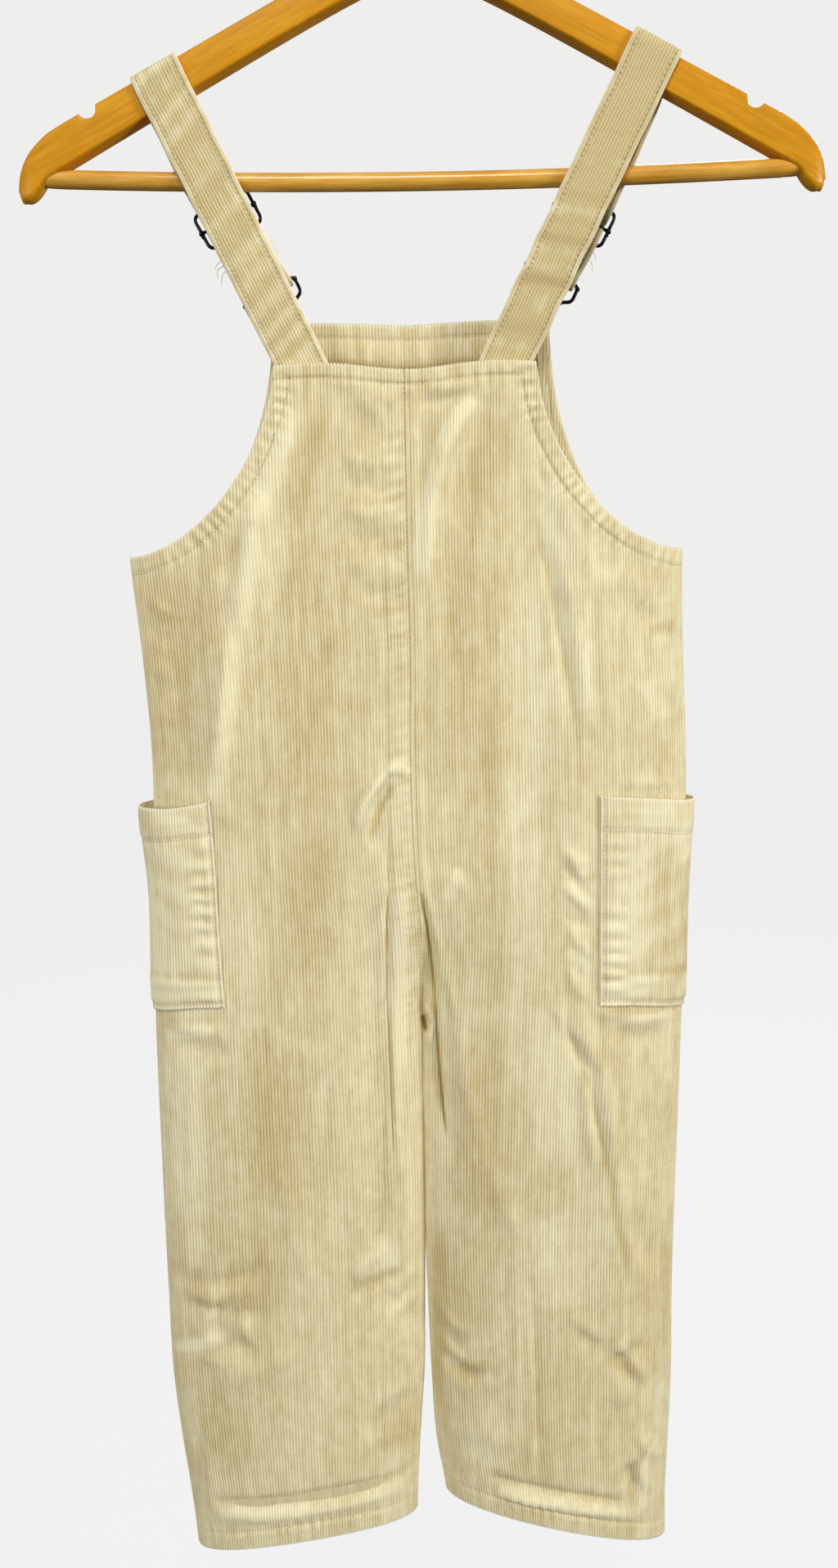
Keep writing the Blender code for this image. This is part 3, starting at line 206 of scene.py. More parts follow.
# Painted light and shade on the cloth, partly the nap's own lie: where the colour is painted lighter, or darker
# where the size is negative.
NAP_AND_SHADE_STROKES = {
    "back": (
        (-144, -395, -156, -520, 0, -0.45, 20.5), (-152, -420, -134, -434, 0, -0.25, 7),
        (-76, -314, -99, -373, 0, 0.6, 6), (-99, -373, -110, -434, 0, 0.7, 5.5),
        (-110, -432, -128, -535, 0, 0.85, 5.5), (-60, -314, -82, -378, 0, -0.6, 7.5),
        (-64, -378, -78, -543, 0, -0.4, 17), (-23, -330, -27, -495, 0, 0.05, 8), (27, -305, 6, -339, 2, 0.75, 5),
        (7, -337, -4, -404, 2, 0.85, 5), (21, -339, 12, -377, 1, -0.05, 3), (38, -314, 20, -379, 0, -0.5, 10),
        (18, -375, 19, -458, 0, -0.45, 11.5), (19, -448, 27, -670, 0, -0.25, 17),
        (34, -402, 37, -670, 0, -0.3, 5), (54, -398, 59, -670, 0, 0.5, 11.5), (71, -358, 78, -551, 0, 0.3, 15.5),
        (77, -347, 100, -415, 0, 0.4, 11), (61, -367, 82, -473, 0, -0.45, 2), (82, -471, 91, -529, 0, -0.25, 2),
        (89, -403, 98, -498, 0, 0.45, 4), (126, -399, 115, -422, 0, -0.05, 7), (127, -437, 144, -436, 0, -0.7, 4),
        (128, -464, 136, -491, 0, 0.9, 6.5), (112, -431, 118, -527, 0, -0.1, 6.5),
        (132, -399, 137, -418, 0, -0.35, 4.5), (-118, -548, -120, -651, 0, 0.25, 11.5),
        (-65, -544, -93, -678, 0, -0.35, 15.5), (-94, -675, -108, -807, 0, -0.55, 19),
        (-108, -801, -127, -877, 0, -0.4, 15.5), (-18, -575, -21, -718, 0, 0.65, 3.5),
        (-29, -580, -31, -706, 0, -0.15, 2), (-39, -605, -44, -814, 0, 0.2, 5.5),
        (-159, -677, -157, -811, 0, 0.6, 11.5), (-52, -701, -51, -849, 0, 0.1, 15.5),
        (-11, -517, -27, -514, 0, 0.8, 2.4), (-25, -514, -45, -550, 2, 0.9, 2.2),
        (-22, -525, -38, -560, 2, -0.9, 2.4), (-8, -589, 0, -664, -1, -2.6, 1),
        (-6, -667, 0, -678, 0.5, 0.9, 1.5), (0, -677, -3, -694, 0.5, 0.9, 1.5), (0, -659, 6, -755, 1, -2.8, 1),
        (-28, -592, -30, -663, 0, -1, 0.8), (-29, -660, -28, -765, 0, -1.6, 0.8),
        (-8, -676, -6, -686, 0, -4, 1.5), (-23, -595, -25, -757, 0, 0.4, 2), (4, -637, 7, -718, 0, 0.4, 2),
        (15, -575, 9, -596, 0, 0.65, 4), (7, -585, 4, -627, 0, -0.05, 4), (29, -670, 29, -815, 0, -0.4, 13.5),
        (22, -815, 13, -905, 0, -0.2, 11.5), (68, -660, 80, -776, 0, 0.45, 14.5),
        (79, -671, 96, -720, 0, -0.5, 2), (96, -717, 110, -788, 0, -0.45, 2),
        (110, -785, 123, -859, 0, -0.55, 2.5), (92, -683, 122, -806, 0, 0.4, 4),
        (122, -671, 138, -806, 0, 0.15, 9), (71, -804, 81, -876, 0, 0.4, 13.5), (117, -788, 124, -877, 0, 0, 9),
        (-161, -844, -153, -872, 0, -0.4, 5.5), (-152, -871, -145, -901, 0, 0.55, 4.5),
        (-178, -908, -148, -895, 0, 1.1, 4), (-137, -886, -111, -879, 0, 0.1, 5.5),
        (-37, -820, -33, -849, 0, 0.55, 7.5), (-57, -861, -25, -848, 2, -0.5, 4),
        (-52, -873, -20, -865, 0, 0.05, 4), (-158, -932, -133, -1002, 0, -0.3, 13.5),
        (-31, -945, -28, -985, 0, -0.45, 13.5), (-47, -978, -22, -976, 0, -0.3, 4),
        (-155, -1030, -23, -1016, 0, 0.8, 4), (-159, -1020, -20, -1003, -1, -0.55, 2.5),
        (9, -929, 35, -916, 0, -0.85, 5.5), (12, -908, 33, -899, 0, 0.45, 4.5), (33, -936, 39, -1000, 0, 0.35, 9),
        (109, -876, 136, -907, 0, 0.15, 4), (106, -913, 137, -932, 0, -0.6, 4), (87, -900, 110, -938, 0, 0.05, 4),
        (135, -901, 145, -932, 0, -0.4, 4), (127, -994, 129, -1026, 0, -0.7, 3.5),
        (147, -979, 135, -1002, 1.5, 0.7, 3), (134, -999, 137, -1034, -1, 0.7, 3),
        (148, -829, 153, -939, 0, -0.4, 3.5), (35, -1014, 139, -1039, -1, 0.8, 4),
        (31, -1001, 124, -1025, -1, -0.5, 2.5), (1, -815, -3, -960, 0, -0.8, 5),
        (-169, -932, -166, -982, 0, 0.5, 5.5), (-170, -683, -136, -676, 0, 1.1, 3),
        (105, -677, 145, -674, 0, 0.75, 3), (-169, -673, -134, -671, 0, -0.35, 2),
        (104, -668, 149, -672, 0, -0.45, 2), (79, -587, 96, -602, 0, 0.35, 2.5), (76, -612, 95, -623, 0, 0, 3),
        (79, -628, 96, -642, 0, 0.55, 3), (-24, -361, -10, -358, 0, -0.1, 3.5),
        (-31, -345, -12, -343, 0, 0.15, 4), (-31, -374, -12, -373, 0, 0.1, 4),
        (-32, -387, -12, -385, 0, -0.4, 3.5), (-39, -401, -13, -399, 0, 0.35, 4.5),
        (-135, -453, -137, -501, 0, 0.5, 6.5), (84, -534, 91, -657, 0, 0.4, 11),
        (94, -768, 106, -876, 0, 0.5, 10), (45, -649, 50, -722, 0, 0.4, 7), (-15, -455, -14, -588, 0, 0.35, 5),
        (23, -409, 25, -448, 0, 0.3, 6.5), (22, -491, 25, -528, 0, 0.25, 6.5), (60, -338, 77, -414, 0, 0.45, 5.5),
        (79, -419, 93, -490, 0, 0.5, 5.5), (-148, -648, -150, -685, 0, 0.45, 10),
        (-158, -797, -159, -844, 0, 0.6, 8), (-46, -831, -46, -850, 0, 0.45, 6.5),
        (-30, -592, -30, -660, 0, 0.35, 4), (-90, -482, -88, -526, 0, 0.3, 6.5),
        (-125, -525, -125, -543, 0, 0.4, 5.5), (-49, -390, -60, -440, 0, 0.35, 5.5),
        (-64, -345, -82, -430, 0, -0.4, 7), (8, -393, 6, -413, 0, -0.4, 5.5), (63, -382, 69, -461, 0, -0.4, 4.5),
        (-44, -469, -50, -551, 0, -0.35, 7), (-70, -610, -71, -681, 0, -0.4, 9),
        (-73, -739, -75, -790, 0, -0.25, 7), (-134, -399, -105, -385, 0, -0.4, 6.5),
        (-20, -850, -17, -889, 0, -0.35, 4.5), (57, -903, 60, -940, 0, -0.3, 4.5),
        (-33, -422, -19, -421, 0, -0.4, 5.5), (28, -908, 33, -933, 0, 0.4, 5.5),
        (11, -961, 33, -999, 0, 0.35, 6.5), (49, -1000, 66, -1023, 0, 0.35, 6.5),
    ),
    "front": (
        (134, -400, 130, -540, 0, -0.7, 20), (-140, -400, -144, -520, 0, 0.65, 20),
        (20, -620, 22, -860, 0, -0.6, 16), (-60, -640, -66, -860, 0, 0.5, 24), (90, -640, 96, -800, 0, 0.45, 26),
        (-20, -800, -22, -950, 0, -0.5, 14), (110, -850, 116, -960, 0, -0.45, 22),
        (40, -300, 46, -430, 0, 0.4, 18), (-50, -340, -56, -520, 0, -0.4, 18),
        (-110, -560, -120, -680, 0, -0.35, 16),
    ),
}

# Pockets: the mouth's and the bottom's heights, and the reach from the side seam over each layer; then how far
# the mouth stands open and how far its middle sags.
POCKET_TERMS = ("top_z", "bottom_z", "back_mouth", "back_bottom", "front_mouth", "front_bottom", "gape", "sag")
POCKETS = {
    "left": (-533, -662, 37, 47, 62, 54, 6.5, 2.4),
    "right": (-534, -665, 55, 55, 46, 46, 2.2, 0.6),
}
POCKET_BAND = 19.5
POCKET_DROOP = 5.5
# How much painted shade darkens each pocket's middle; below 0 it is painted lighter.
POCKET_SHADES = {"left": -0.1, "right": 0.6}
POCKET_EDGE_STITCH = 2.4
POCKET_FOOT_STITCH = 2.6
POCKET_EDGE_ROWS = (0, 0.3, 0.8, 1.6, 2.8)
POCKET_INNER_ROWS = (4.2, 62)
POCKET_FINE_STEPS = 3001

FACING_HALF_WIDTH = 76.0
FACING_HEIGHT = 66.0
FACING_STITCH = 7.2
FACING_TOP_ROWS = (0, 0.3, 0.8, 1.6, 3, 5, 6.4, FACING_STITCH, 8, 9.6)

# Bands, seams and topstitching
BIB_BAND = 7.4
ARMHOLE_BAND = 9.0
ARMHOLE_FACING = 25.0
HEM_BAND = 13.0
CENTRE_STITCH = 2.2
SEAM_ALLOWANCE = 15.5
# Painted light and shade along the puckers: how strongly their waves lighten and darken the cloth's colour.
PUCKER_SHADE = 0.7
STITCH_PITCH = 3.0
STITCH_LENGTH = 2.3
THREAD_RADIUS = 0.34
LOOSE_THREAD_RADIUS = 0.16

# Rows of the panels' grids: distances below the top edge and above the hem, and how many even rows lie between.
TOP_ROWS = (0, 0.35, 0.9, 1.7, 2.8, 4.2, 5.6, 6.7, 7.3, 8.0, 9.1, 10.6)
HEM_ROWS = (17.0, 15.2, 14.0, 13.2, 12.4, 11.0, 9.0, 6.8, 4.6, 2.9, 1.6, 0.8, 0.3, 0)
BODY_ROWS = 150
BODY_ROW_CROWDING = 1.25
LEG_ROWS = 97
SECTION_FINE_STEPS = 6001

# ---------------------------------------------------------------- sizes: straps, wires and hanger

HANGER_THICKNESS = 12.0
# An arm's edge: its height where both slopes would meet, the slope, and how far from the middle it is rounded.
ARM_TOP = (-65.5, 0.497, 14.0)
ARM_UNDERSIDE = (-81.4, 0.523, 20.0)
NOTCH_X = 179.5
NOTCH_RADIUS = 5.0
NOTCH_SQUASH = 0.86
ARM_EDGE_RADIUS = 1.6
TIP_EDGE_RADIUS = 4.6
# Where the edges' radius starts to grow to the tip's, and over how far.
TIP_ROUNDS = (192, 20)
TIP_START_X = 184.0
TIP_TOP = (220.0, -171.0)
TIP_END = (220.0, -194.5)
TIP_UNDER = ((198.0, -185.8), (205.2, -191.0), (208.6, -195.8), (212.0, -198.9), (216.2, -199.9), (219.2, -198.0))
# The tips narrow towards their ends: from where, over how far, and by what power.
TIP_NARROWS = (207, 13.4, 2.6)
# Rings of the board from one place to another, and how many: along the arm, round the notch and to the tip.
ARM_RINGS = (0, 170, 62)
NOTCH_RINGS = (173, 186, 40)
TIP_RINGS = (188, 220, 46)
BAR_RADIUS = 4.75
BAR_END_X = 210.0
BAR_END_Z = -187.4
BAR_SAG = 4.4
HOOK_WIRE_RADIUS = 2.0
HOOK_INNER_RADIUS = 19.0
HOOK_SHANK_DEPTH = 11.5
# How far below the crook the shank's last straight places lie, and the crook's first and last angle in degrees.
HOOK_STRAIGHT = (16, 9)
HOOK_TURN = (-58, 205)
HOOK_END_RADIUS = 2.3

# Straps: the crest on the arm, the sewn end on the back bib, the buckle's bar, and the slider down the front run.
STRAP_COLUMNS = ("crest_x", "crest_lift", "bib_x", "bib_z", "bar_x", "bar_z", "slider_down")
STRAPS = {
    "left": (-142.0, 0.0, -70.0, -285.0, -87.6, -244.0, 78.5),
    "right": (125.4, 0.8, 46.0, -284.5, 73.0, -238.0, 89.5),
}
STRAP_TUCK = 15.0
STRAP_STITCH = 3.3
STRAP_EDGE = 1.2
STRAP_STEP = 1.9
STRAP_TONES = {"left": -0.4, "right": -0.85}
BIB_STRAP_Y = 7.0
SLIDER_Y = 10.6
BAR_Y = 11.0
WIRE_RADIUS = 1.0
SLIDER_HEIGHT = 19.0
SLIDER_OVERHANG = 2.6
SLIDER_CORNER = 3.8
SLIDER_CURL = (1.75, 1.9, 1.75)
SLIDER_CURL_END = (1.2, 1.5, 1.2)
BUCKLE_OVERHANG = 2.0
BUCKLE_CORNER = 2.6
BUCKLE_SHOULDER = 9.0
BUCKLE_WAIST = 20.0
BUCKLE_WAIST_DROP = 2.6
BUCKLE_HEIGHT = 50.0
BUCKLE_NECK = 9.0
BUCKLE_BEAD_RADIUS = 1.5
BUTTON_RADIUS = 8.5
BUTTON_THICKNESS = 3.0
BUTTON_STEM_RADIUS = 2.6

# The strap's centre line past its hardware: how far down from the slider's middle bar (or from the
# buckle's bar), how many wire clearances and how many layers of strap it stands out from the wire's
# plane, and what is left over.
PAST_SLIDER = (
    (-9.5, -1, 0, 0), (-5.5, 0, 0, -0.2), (-2.5, 1, 1, -0.6), (0, 1, 1, 0.1),
    (2.5, 1, 1, -0.6), (5.5, 0, 0, -0.2), (9.5, -1, 0, 0), (16, -1, 0, 0.3),
)
ROUND_BUCKLE = (
    (-7, 1, 0, 0.1), (-1, 1, 0, 0), (1.9, 0.75, 0, 0), (3, 0, 0, 0),
    (1.9, -0.75, 0, 0), (-1, -1, 0, 0), (-7, -1, 0, -0.1),
)
BACK_TO_SLIDER = ((16, -1, -1, 0.3), (9.5, -1, -1, 0), (5.5, -1, 0, -1.6), (1.5, -1, 0, -0.1))
# Where the straight runs settle: below the crest on both faces of the arm, and above the bib and the slider.
OFF_ARM = (8, 30)
ABOVE_BIB = (-4, 20)
ABOVE_SLIDER = 22
SLIDER_LEAN = 0.6
BACK_SETTLE = 0.6
FRONT_BOW = 2.4

# ---------------------------------------------------------------- curves and tables


def named(columns, row):
    """A table's row with its columns' names."""
    return dict(zip(columns, row))


def bell(value, centre, width):
    """1 where a value is at the centre, falling off within the width on both sides."""
    return np.exp(-(((value - centre) / width) ** 2))


def soft_step(value):
    """0 below 0, 1 above 1, and a smooth S between them."""
    t = np.clip(value, 0, 1)
    return t * t * (3 - 2 * t)


def smooth_steps(knots, values, at):
    """A smooth curve through the knots: cubic pieces whose slopes are those of the chords on both sides."""
    knots, values, at = (np.asarray(a, float) for a in (knots, values, at))
    slopes = np.gradient(values, knots)
    i = np.clip(np.searchsorted(knots, at) - 1, 0, len(knots) - 2)
    span = knots[i + 1] - knots[i]
    t = np.clip((at - knots[i]) / span, 0, 1)
    start = values[i] * (1 + 2 * t) * (1 - t) ** 2 + slopes[i] * span * t * (1 - t) ** 2
    end = values[i + 1] * t * t * (3 - 2 * t) + slopes[i + 1] * span * t * t * (t - 1)
    return start + end


def bent(start, middle, end, t):
    """A parabola's points from a start to an end, drawn towards a middle."""
    return np.array(start) * (1 - t) ** 2 + 2 * np.array(middle) * t * (1 - t) + np.array(end) * t**2


def uneven(way, pitch, seed):
    """A wave along a way whose length and height wander: a sine bent and swelled by slower sines."""
    bend = 1.2 * np.sin(way / (pitch * 0.9) + seed * 2.1) + 1.1 * np.sin(way / (pitch * 2.3) + seed * 5.3)
    swell = 0.30 * np.sin(way / (pitch * 1.7) + seed * 3.7) + 0.15 * np.sin(way / (pitch * 0.53) + seed * 1.9)
    return (0.55 + swell) * np.sin(2 * np.pi * way / pitch + bend)


def unit(vectors):
    """Vectors scaled to a length of 1."""
    return vectors / np.maximum(np.linalg.norm(vectors, axis=-1, keepdims=True), 1e-9)


def square_to(vectors, axis):
    """Unit vectors without what they have along an axis."""
    return unit(vectors - axis * np.sum(axis * vectors, axis=-1, keepdims=True))


def way_along(points, least=0.0):
    """How far along a line each of its points lies, with a least step between two."""
    return np.concatenate([[0], np.cumsum(np.maximum(np.linalg.norm(np.diff(points, axis=0), axis=1), least))])


def nearest(values, wanted):
    """The number of the value that is nearest to the wanted one."""
    return int(np.argmin(np.abs(values - wanted)))


def section(column, z):
    """One column of the section table at any height."""
    rows = np.array(SECTIONS, float)[::-1]
    return smooth_steps(rows[:, 0], rows[:, SECTION_COLUMNS.index(column)], z)


def edges_at(side, z):
    """X of a panel's inner edge and of its side seam."""
    return section(side + "_inner", z), section(side + "_side", z)


def line_bells(x, z, rows, power, fading):
    """The sum of a table's soft lines at a point: a bell across each bowed line, fading at both ends."""
    total = np.zeros(np.broadcast(x, z).shape)
    for row in rows:
        line = named(LINE_COLUMNS, row)
        run = np.array([line["end_x"] - line["start_x"], line["end_z"] - line["start_z"]], float)
        length = np.hypot(*run)
        run /= length
        from_x, from_z = x - line["start_x"], z - line["start_z"]
        along = (from_x * run[0] + from_z * run[1]) / length
        inside = np.clip(along, 0, 1)
        beside = from_z * run[0] - from_x * run[1] + line["bow"] * 4 * inside * (1 - inside)
        fade = np.clip(1 - np.abs(2 * along - 1) ** fading, 0, 1)
        total += line["size"] * fade * np.exp(-(np.abs(beside / line["width"]) ** power))
    return total


def fold_relief(x, z, layer):
    """How far the folds push a layer out at a point."""
    return line_bells(x, z, FOLDS[layer], 2, 3)


def nap_and_shade_tone(x, z, layer):
    """How light (above 0) or dark (below 0) a point is painted: mostly painted light and shade on folds and
    creases, partly the nap's lie, with flatter tops and firmer sides than a fold.
    """
    return line_bells(x, z, NAP_AND_SHADE_STROKES[layer], 3, 6)


# ---------------------------------------------------------------- the garment's surface


def crotch_sweep(z):
    """0 above the crotch's sweep and 1 just below the crotch: how far the centre seam has turned under."""
    share = np.clip((CROTCH_Z + CROTCH_RISE - z) / (CROTCH_RISE + CROTCH_REACH), 0, 1)
    return 1 - (1 - soft_step(share) ** CROTCH_SWEEP) ** ROUNDNESS


def above_crotch(z):
    """1 along the centre seam, fading out at the crotch."""
    return soft_step((z - CROTCH_Z + 15) / 40)


def half_chest(side):
    """The garment's reach from its centre to the side seam, at the foot of the armhole."""
    return abs(section(side + "_side", SIDE_TOP_Z) - CENTRE_X)


def top_edge(side, layer, across):
    """Height of the bib's top edge and, past its corner, of the armhole: a superellipse down to the side seam."""
    bib = named(BIB_COLUMNS, BIBS[layer])
    reach, chest = bib[side + "_reach"], half_chest(side)
    out = np.asarray(across, float) * chest
    edge = bib["top_z"] - bib["dip"] * bell(out, 0, BIB_DIP_WIDTH) - BIB_CORNER_DROP * (out / reach) ** 6
    corner = bib["top_z"] - BIB_CORNER_DROP
    away = np.clip((out - reach) / (chest - reach), 0, 1)
    fall = (1 - (1 - away) ** bib["across_power"]) ** (1 / bib["down_power"])
    return np.where(out <= reach, edge, corner + (SIDE_TOP_Z - corner) * fall)


def hem_edge(side, across):
    """Height of the hem under each column."""
    inner_z, outer_z, power = HEMS[side]
    return inner_z + (outer_z - inner_z) * np.asarray(across, float) ** power


def edge_lines(side, layer):
    """The bib's top edge and the armhole's edge as fine (x, z) lines, each with its length along the edge."""
    corner = named(BIB_COLUMNS, BIBS[layer])[side + "_reach"] / half_chest(side)
    past = corner + (1 - corner) * np.linspace(0, 1, 900) ** 2.2
    lines = []
    for across in (np.linspace(0, corner, 300), past):
        z = top_edge(side, layer, across)
        inner, outer = edges_at(side, z)
        line = np.stack([inner + (outer - inner) * across, z], axis=-1)
        lines.append((line, way_along(line)))
    return lines


EDGES = {(side, layer): edge_lines(side, layer) for side in SIDE_SIGN for layer in LAYER_SIGN}
# What counts as far from a line, and how many points are measured against it at one time.
FAR = 99.0
NEAR_AT_ONCE = 20000


def near_line(x, z, line, way, reach=26.0):
    """Distance of points to a line, and how far along it the nearest place is; FAR past the reach."""
    x, z = np.broadcast_arrays(np.asarray(x, float), np.asarray(z, float))
    distance, along = np.full(x.shape, FAR), np.zeros(x.shape)
    low, high = line.min(axis=0) - reach, line.max(axis=0) + reach
    close = (x > low[0]) & (x < high[0]) & (z > low[1]) & (z < high[1])
    points = np.stack([x[close], z[close]], axis=-1)
    found = []
    for part in np.array_split(points, len(points) // NEAR_AT_ONCE + 1):
        gap = np.hypot(part[:, :1] - line[:, 0], part[:, 1:] - line[:, 1])
        found.append((gap.min(axis=1), way[gap.argmin(axis=1)]))
    distance[close], along[close] = (np.concatenate(values) for values in zip(*found))
    return np.minimum(distance, FAR), along


def edge_gaps(side, layer, x, z):
    """Distance to the bib's top edge and the way along it, and the same for the armhole's edge."""
    return [near_line(x, z, *edge) for edge in EDGES[side, layer]]


def panel_gaps(side, layer, across, x, z):
    """Distances of places on a panel to its edges and seams, and the ways along the bib's and armhole's edges."""
    (bib, bib_way), (arm, arm_way) = edge_gaps(side, layer, x, z)
    seam, outer = (np.abs(x - edge) for edge in edges_at(side, z))
    hem = z - hem_edge(side, across)
    return {"bib": bib, "bib_way": bib_way, "arm": arm, "arm_way": arm_way, "hem": hem, "seam": seam, "side": outer}


def panel_seed(side, layer):
    """Where a panel's uneven waves start."""
    return 1 + 2 * (side == "right") + 4 * (layer == "front")


def pucker_waves(side, layer, gaps, z):
    """Where sewing gathers a panel: waves along its armhole band, and beside the centre seam's stitches."""
    seed = panel_seed(side, layer)
    arm = uneven(gaps["arm_way"], 6.4, seed + 0.5) * bell(gaps["arm"], ARMHOLE_BAND * 0.7, 6.0)
    if side == "right":
        return arm, 0 * arm
    seam = gaps["seam"]
    pulled = soft_step((seam - 1.5) / 4) * bell(seam, 0, 15.0) * soft_step((-300 - z) / 40)
    slant = z + 0.25 * seam + 2.0 * np.sin(z / 23)
    wave = 0.7 * uneven(slant, 7.6, seed) + 0.35 * uneven(slant, 15.5, seed + 0.7)
    return arm, wave * pulled * above_crotch(z)


def sewn_relief(side, layer, gaps, x, z):
    """What sewing does to a panel: raised bands along its edges, grooves at the stitches, puckers beside them."""
    seed = panel_seed(side, layer)
    bib, arm, hem, seam = (gaps[key] for key in ("bib", "arm", "hem", "seam"))
    arm_wave, seam_wave = pucker_waves(side, layer, gaps, z)
    relief = 0.6 * np.maximum(soft_step((BIB_BAND - bib) / 2.4), soft_step((ARMHOLE_BAND - arm) / 2.4))
    relief -= 0.55 * bell(bib, BIB_BAND, 0.7)
    relief -= 0.6 * bell(arm, ARMHOLE_BAND, 0.7) * (bib > BIB_BAND - 1)
    relief += 0.45 * uneven(gaps["bib_way"], 9.0, seed) * bell(bib, BIB_BAND, 5.0)
    relief += 0.6 * arm_wave + 0.95 * seam_wave
    relief += 0.6 * soft_step((HEM_BAND - hem) / 1.4)
    relief -= 0.55 * bell(hem, HEM_BAND, 0.9)
    relief += 0.60 * uneven(x, 7.5, seed + 1.2) * bell(hem, HEM_BAND, 4.5)
    if side == "left":
        relief += 0.55 * soft_step((SEAM_ALLOWANCE - seam) / 2.0) * above_crotch(z)
        relief -= 0.7 * bell(seam, CENTRE_STITCH, 0.7) * above_crotch(z)
    else:
        relief += 0.7 * bell(seam, 3.4, 2.0) * above_crotch(z)
        relief -= 0.5 * bell(seam, 8.0, 3.0) * above_crotch(z)
    relief += 0.35 * uneven(z, 17.0, seed + 0.3) * bell(gaps["side"], 4, 6.0)
    return relief


def stitch_shade_mask(side, gaps, z):
    """Where a panel's colour is given painted shade: 1 along its stitch lines and its centre ditch, fading within a
    millimetre beside them.
    """
    lines = [
        bell(gaps["bib"], BIB_BAND, 0.8),
        bell(gaps["arm"], ARMHOLE_BAND, 0.8) * (gaps["bib"] > BIB_BAND - 1),
        bell(gaps["hem"], HEM_BAND, 0.8),
        0.7 * bell(gaps["seam"], 0, 0.5) * above_crotch(z),
    ]
    if side == "left":
        lines.append(bell(gaps["seam"], CENTRE_STITCH, 0.7) * above_crotch(z))
    return np.max(lines, axis=0)


def rounds(across, z):
    """How full a section stands at each share across: a superellipse to the side seam and, on a leg, the inseam."""
    side_round = (1 - across**FLATNESS) ** (1 / ROUNDNESS)
    inner_round = (1 - crotch_sweep(z) * (1 - across) ** FLATNESS) ** (1 / ROUNDNESS)
    return side_round * inner_round


def cloth_point(side, layer, across, z, sewn=True):
    """A point of a panel's outer face below its wales: the section's stand, its folds and what sewing adds."""
    across, z = np.broadcast_arrays(np.asarray(across, float), np.asarray(z, float))
    inner, outer = edges_at(side, z)
    x = inner + (outer - inner) * across
    stand = section("depth", z) + fold_relief(x, z, layer)
    if sewn:
        stand = stand + sewn_relief(side, layer, panel_gaps(side, layer, across, x, z), x, z)
    return np.stack([x, LAYER_SIGN[layer] * stand * rounds(across, z), z], axis=-1)


def share_across(side, x, z):
    """The share across a panel at which a place lies."""
    inner, outer = edges_at(side, z)
    return np.clip((x - inner) / (outer - inner), 0, 1)


def grid_normals(grid):
    """Unit normals of a grid of points, on the side that its own order gives."""
    return unit(np.cross(np.gradient(grid, axis=1), np.gradient(grid, axis=0)))


def face_normals(grid, towards):
    """Unit normals of a grid of points, on the side that the given direction points to."""
    normal = grid_normals(grid)
    return normal * np.sign(normal[grid.shape[0] // 3, grid.shape[1] // 3] @ np.asarray(towards, float))


def on_cloth(side, layer, x, z, step=0.4):
    """Points of a panel's outer face at places (x, z), with the face's normal there, from small steps around it."""
    across = share_across(side, x, z)
    here = cloth_point(side, layer, across, z)
    over = cloth_point(side, layer, share_across(side, x + step, z), z)
    up = cloth_point(side, layer, across, z + step)
    normal = unit(np.cross(over - here, up - here))
    return here, normal * np.sign(normal[:, 1:2] * LAYER_SIGN[layer])


# ---------------------------------------------------------------- meshes


def new_object(name, points, faces, materials, uv=None, attributes=None, face_material=None, smooth_angle=None):
    """A mesh object at the origin, from points in millimetres, with per-point UV and attributes."""
    mesh = bpy.data.meshes.new(name)
    mesh.from_pydata((np.asarray(points, float) * MM).tolist(), [], [list(map(int, f)) for f in faces])
    mesh.update()
    for material in materials:
        mesh.materials.append(material)
    if uv is not None:
        corners = np.zeros(len(mesh.loops), np.int32)
        mesh.loops.foreach_get("vertex_index", corners)
        layer = mesh.uv_layers.new(name="UVMap")
        layer.data.foreach_set("uv", np.asarray(uv, np.float32)[corners].ravel())
    for key, values in (attributes or {}).items():
        mesh.attributes.new(key, "FLOAT", "POINT").data.foreach_set("value", np.asarray(values, np.float32))
    if face_material is not None:
        mesh.polygons.foreach_set("material_index", np.asarray(face_material, np.int32))
    mesh.shade_smooth()
    if smooth_angle:
        mesh.set_sharp_from_angle(angle=np.radians(smooth_angle))
    obj = bpy.data.objects.new(name, mesh)
    bpy.context.scene.collection.objects.link(obj)
    return obj


def finish_piece(obj, slot, *nodes):
    """Lets a piece ride on the body and hides the nodes that it stands for; the slot is not used."""
    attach(obj, BODY)
    if nodes:
        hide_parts(*nodes)
    return obj


def outward_faces(obj):
    """Turns a closed mesh's faces outwards if its signed volume is negative."""
    mesh = obj.data
    mesh.calc_loop_triangles()
    corners = np.zeros(len(mesh.vertices) * 3)
    mesh.vertices.foreach_get("co", corners)
    triangles = np.zeros(len(mesh.loop_triangles) * 3, np.int32)
    mesh.loop_triangles.foreach_get("vertices", triangles)
    a, b, c = corners.reshape(-1, 3)[triangles.reshape(-1, 3)].transpose(1, 0, 2)
    if np.einsum("ij,ij->i", a, np.cross(b, c)).sum() < 0:
        mesh.flip_normals()


def grid_quads(index):
    """Quads between the neighbours in a grid of point numbers."""
    return np.stack([index[:-1, :-1], index[:-1, 1:], index[1:, 1:], index[1:, :-1]], axis=-1).reshape(-1, 4)


def grid_index(rows, columns, start=0):
    """The numbers of a grid of points that are stored row by row."""
    return start + np.arange(rows * columns).reshape(rows, columns)


def ring_index(rings, around, start=0):
    """The numbers of rings of points, each ring closed by its first number."""
    index = grid_index(rings, around, start)
    return np.concatenate([index, index[:, :1]], axis=1)


def ring_faces(rings, around):
    """Faces of a tube of rings of points, capped at both ends."""
    index = ring_index(rings, around)
    return grid_quads(index).tolist() + [index[0, :-1].tolist()[::-1], index[-1, :-1].tolist()]


def coarse(count, step):
    """Every step-th place of a row of places, and always its last one."""
    return np.unique([*range(0, count, step), count - 1])


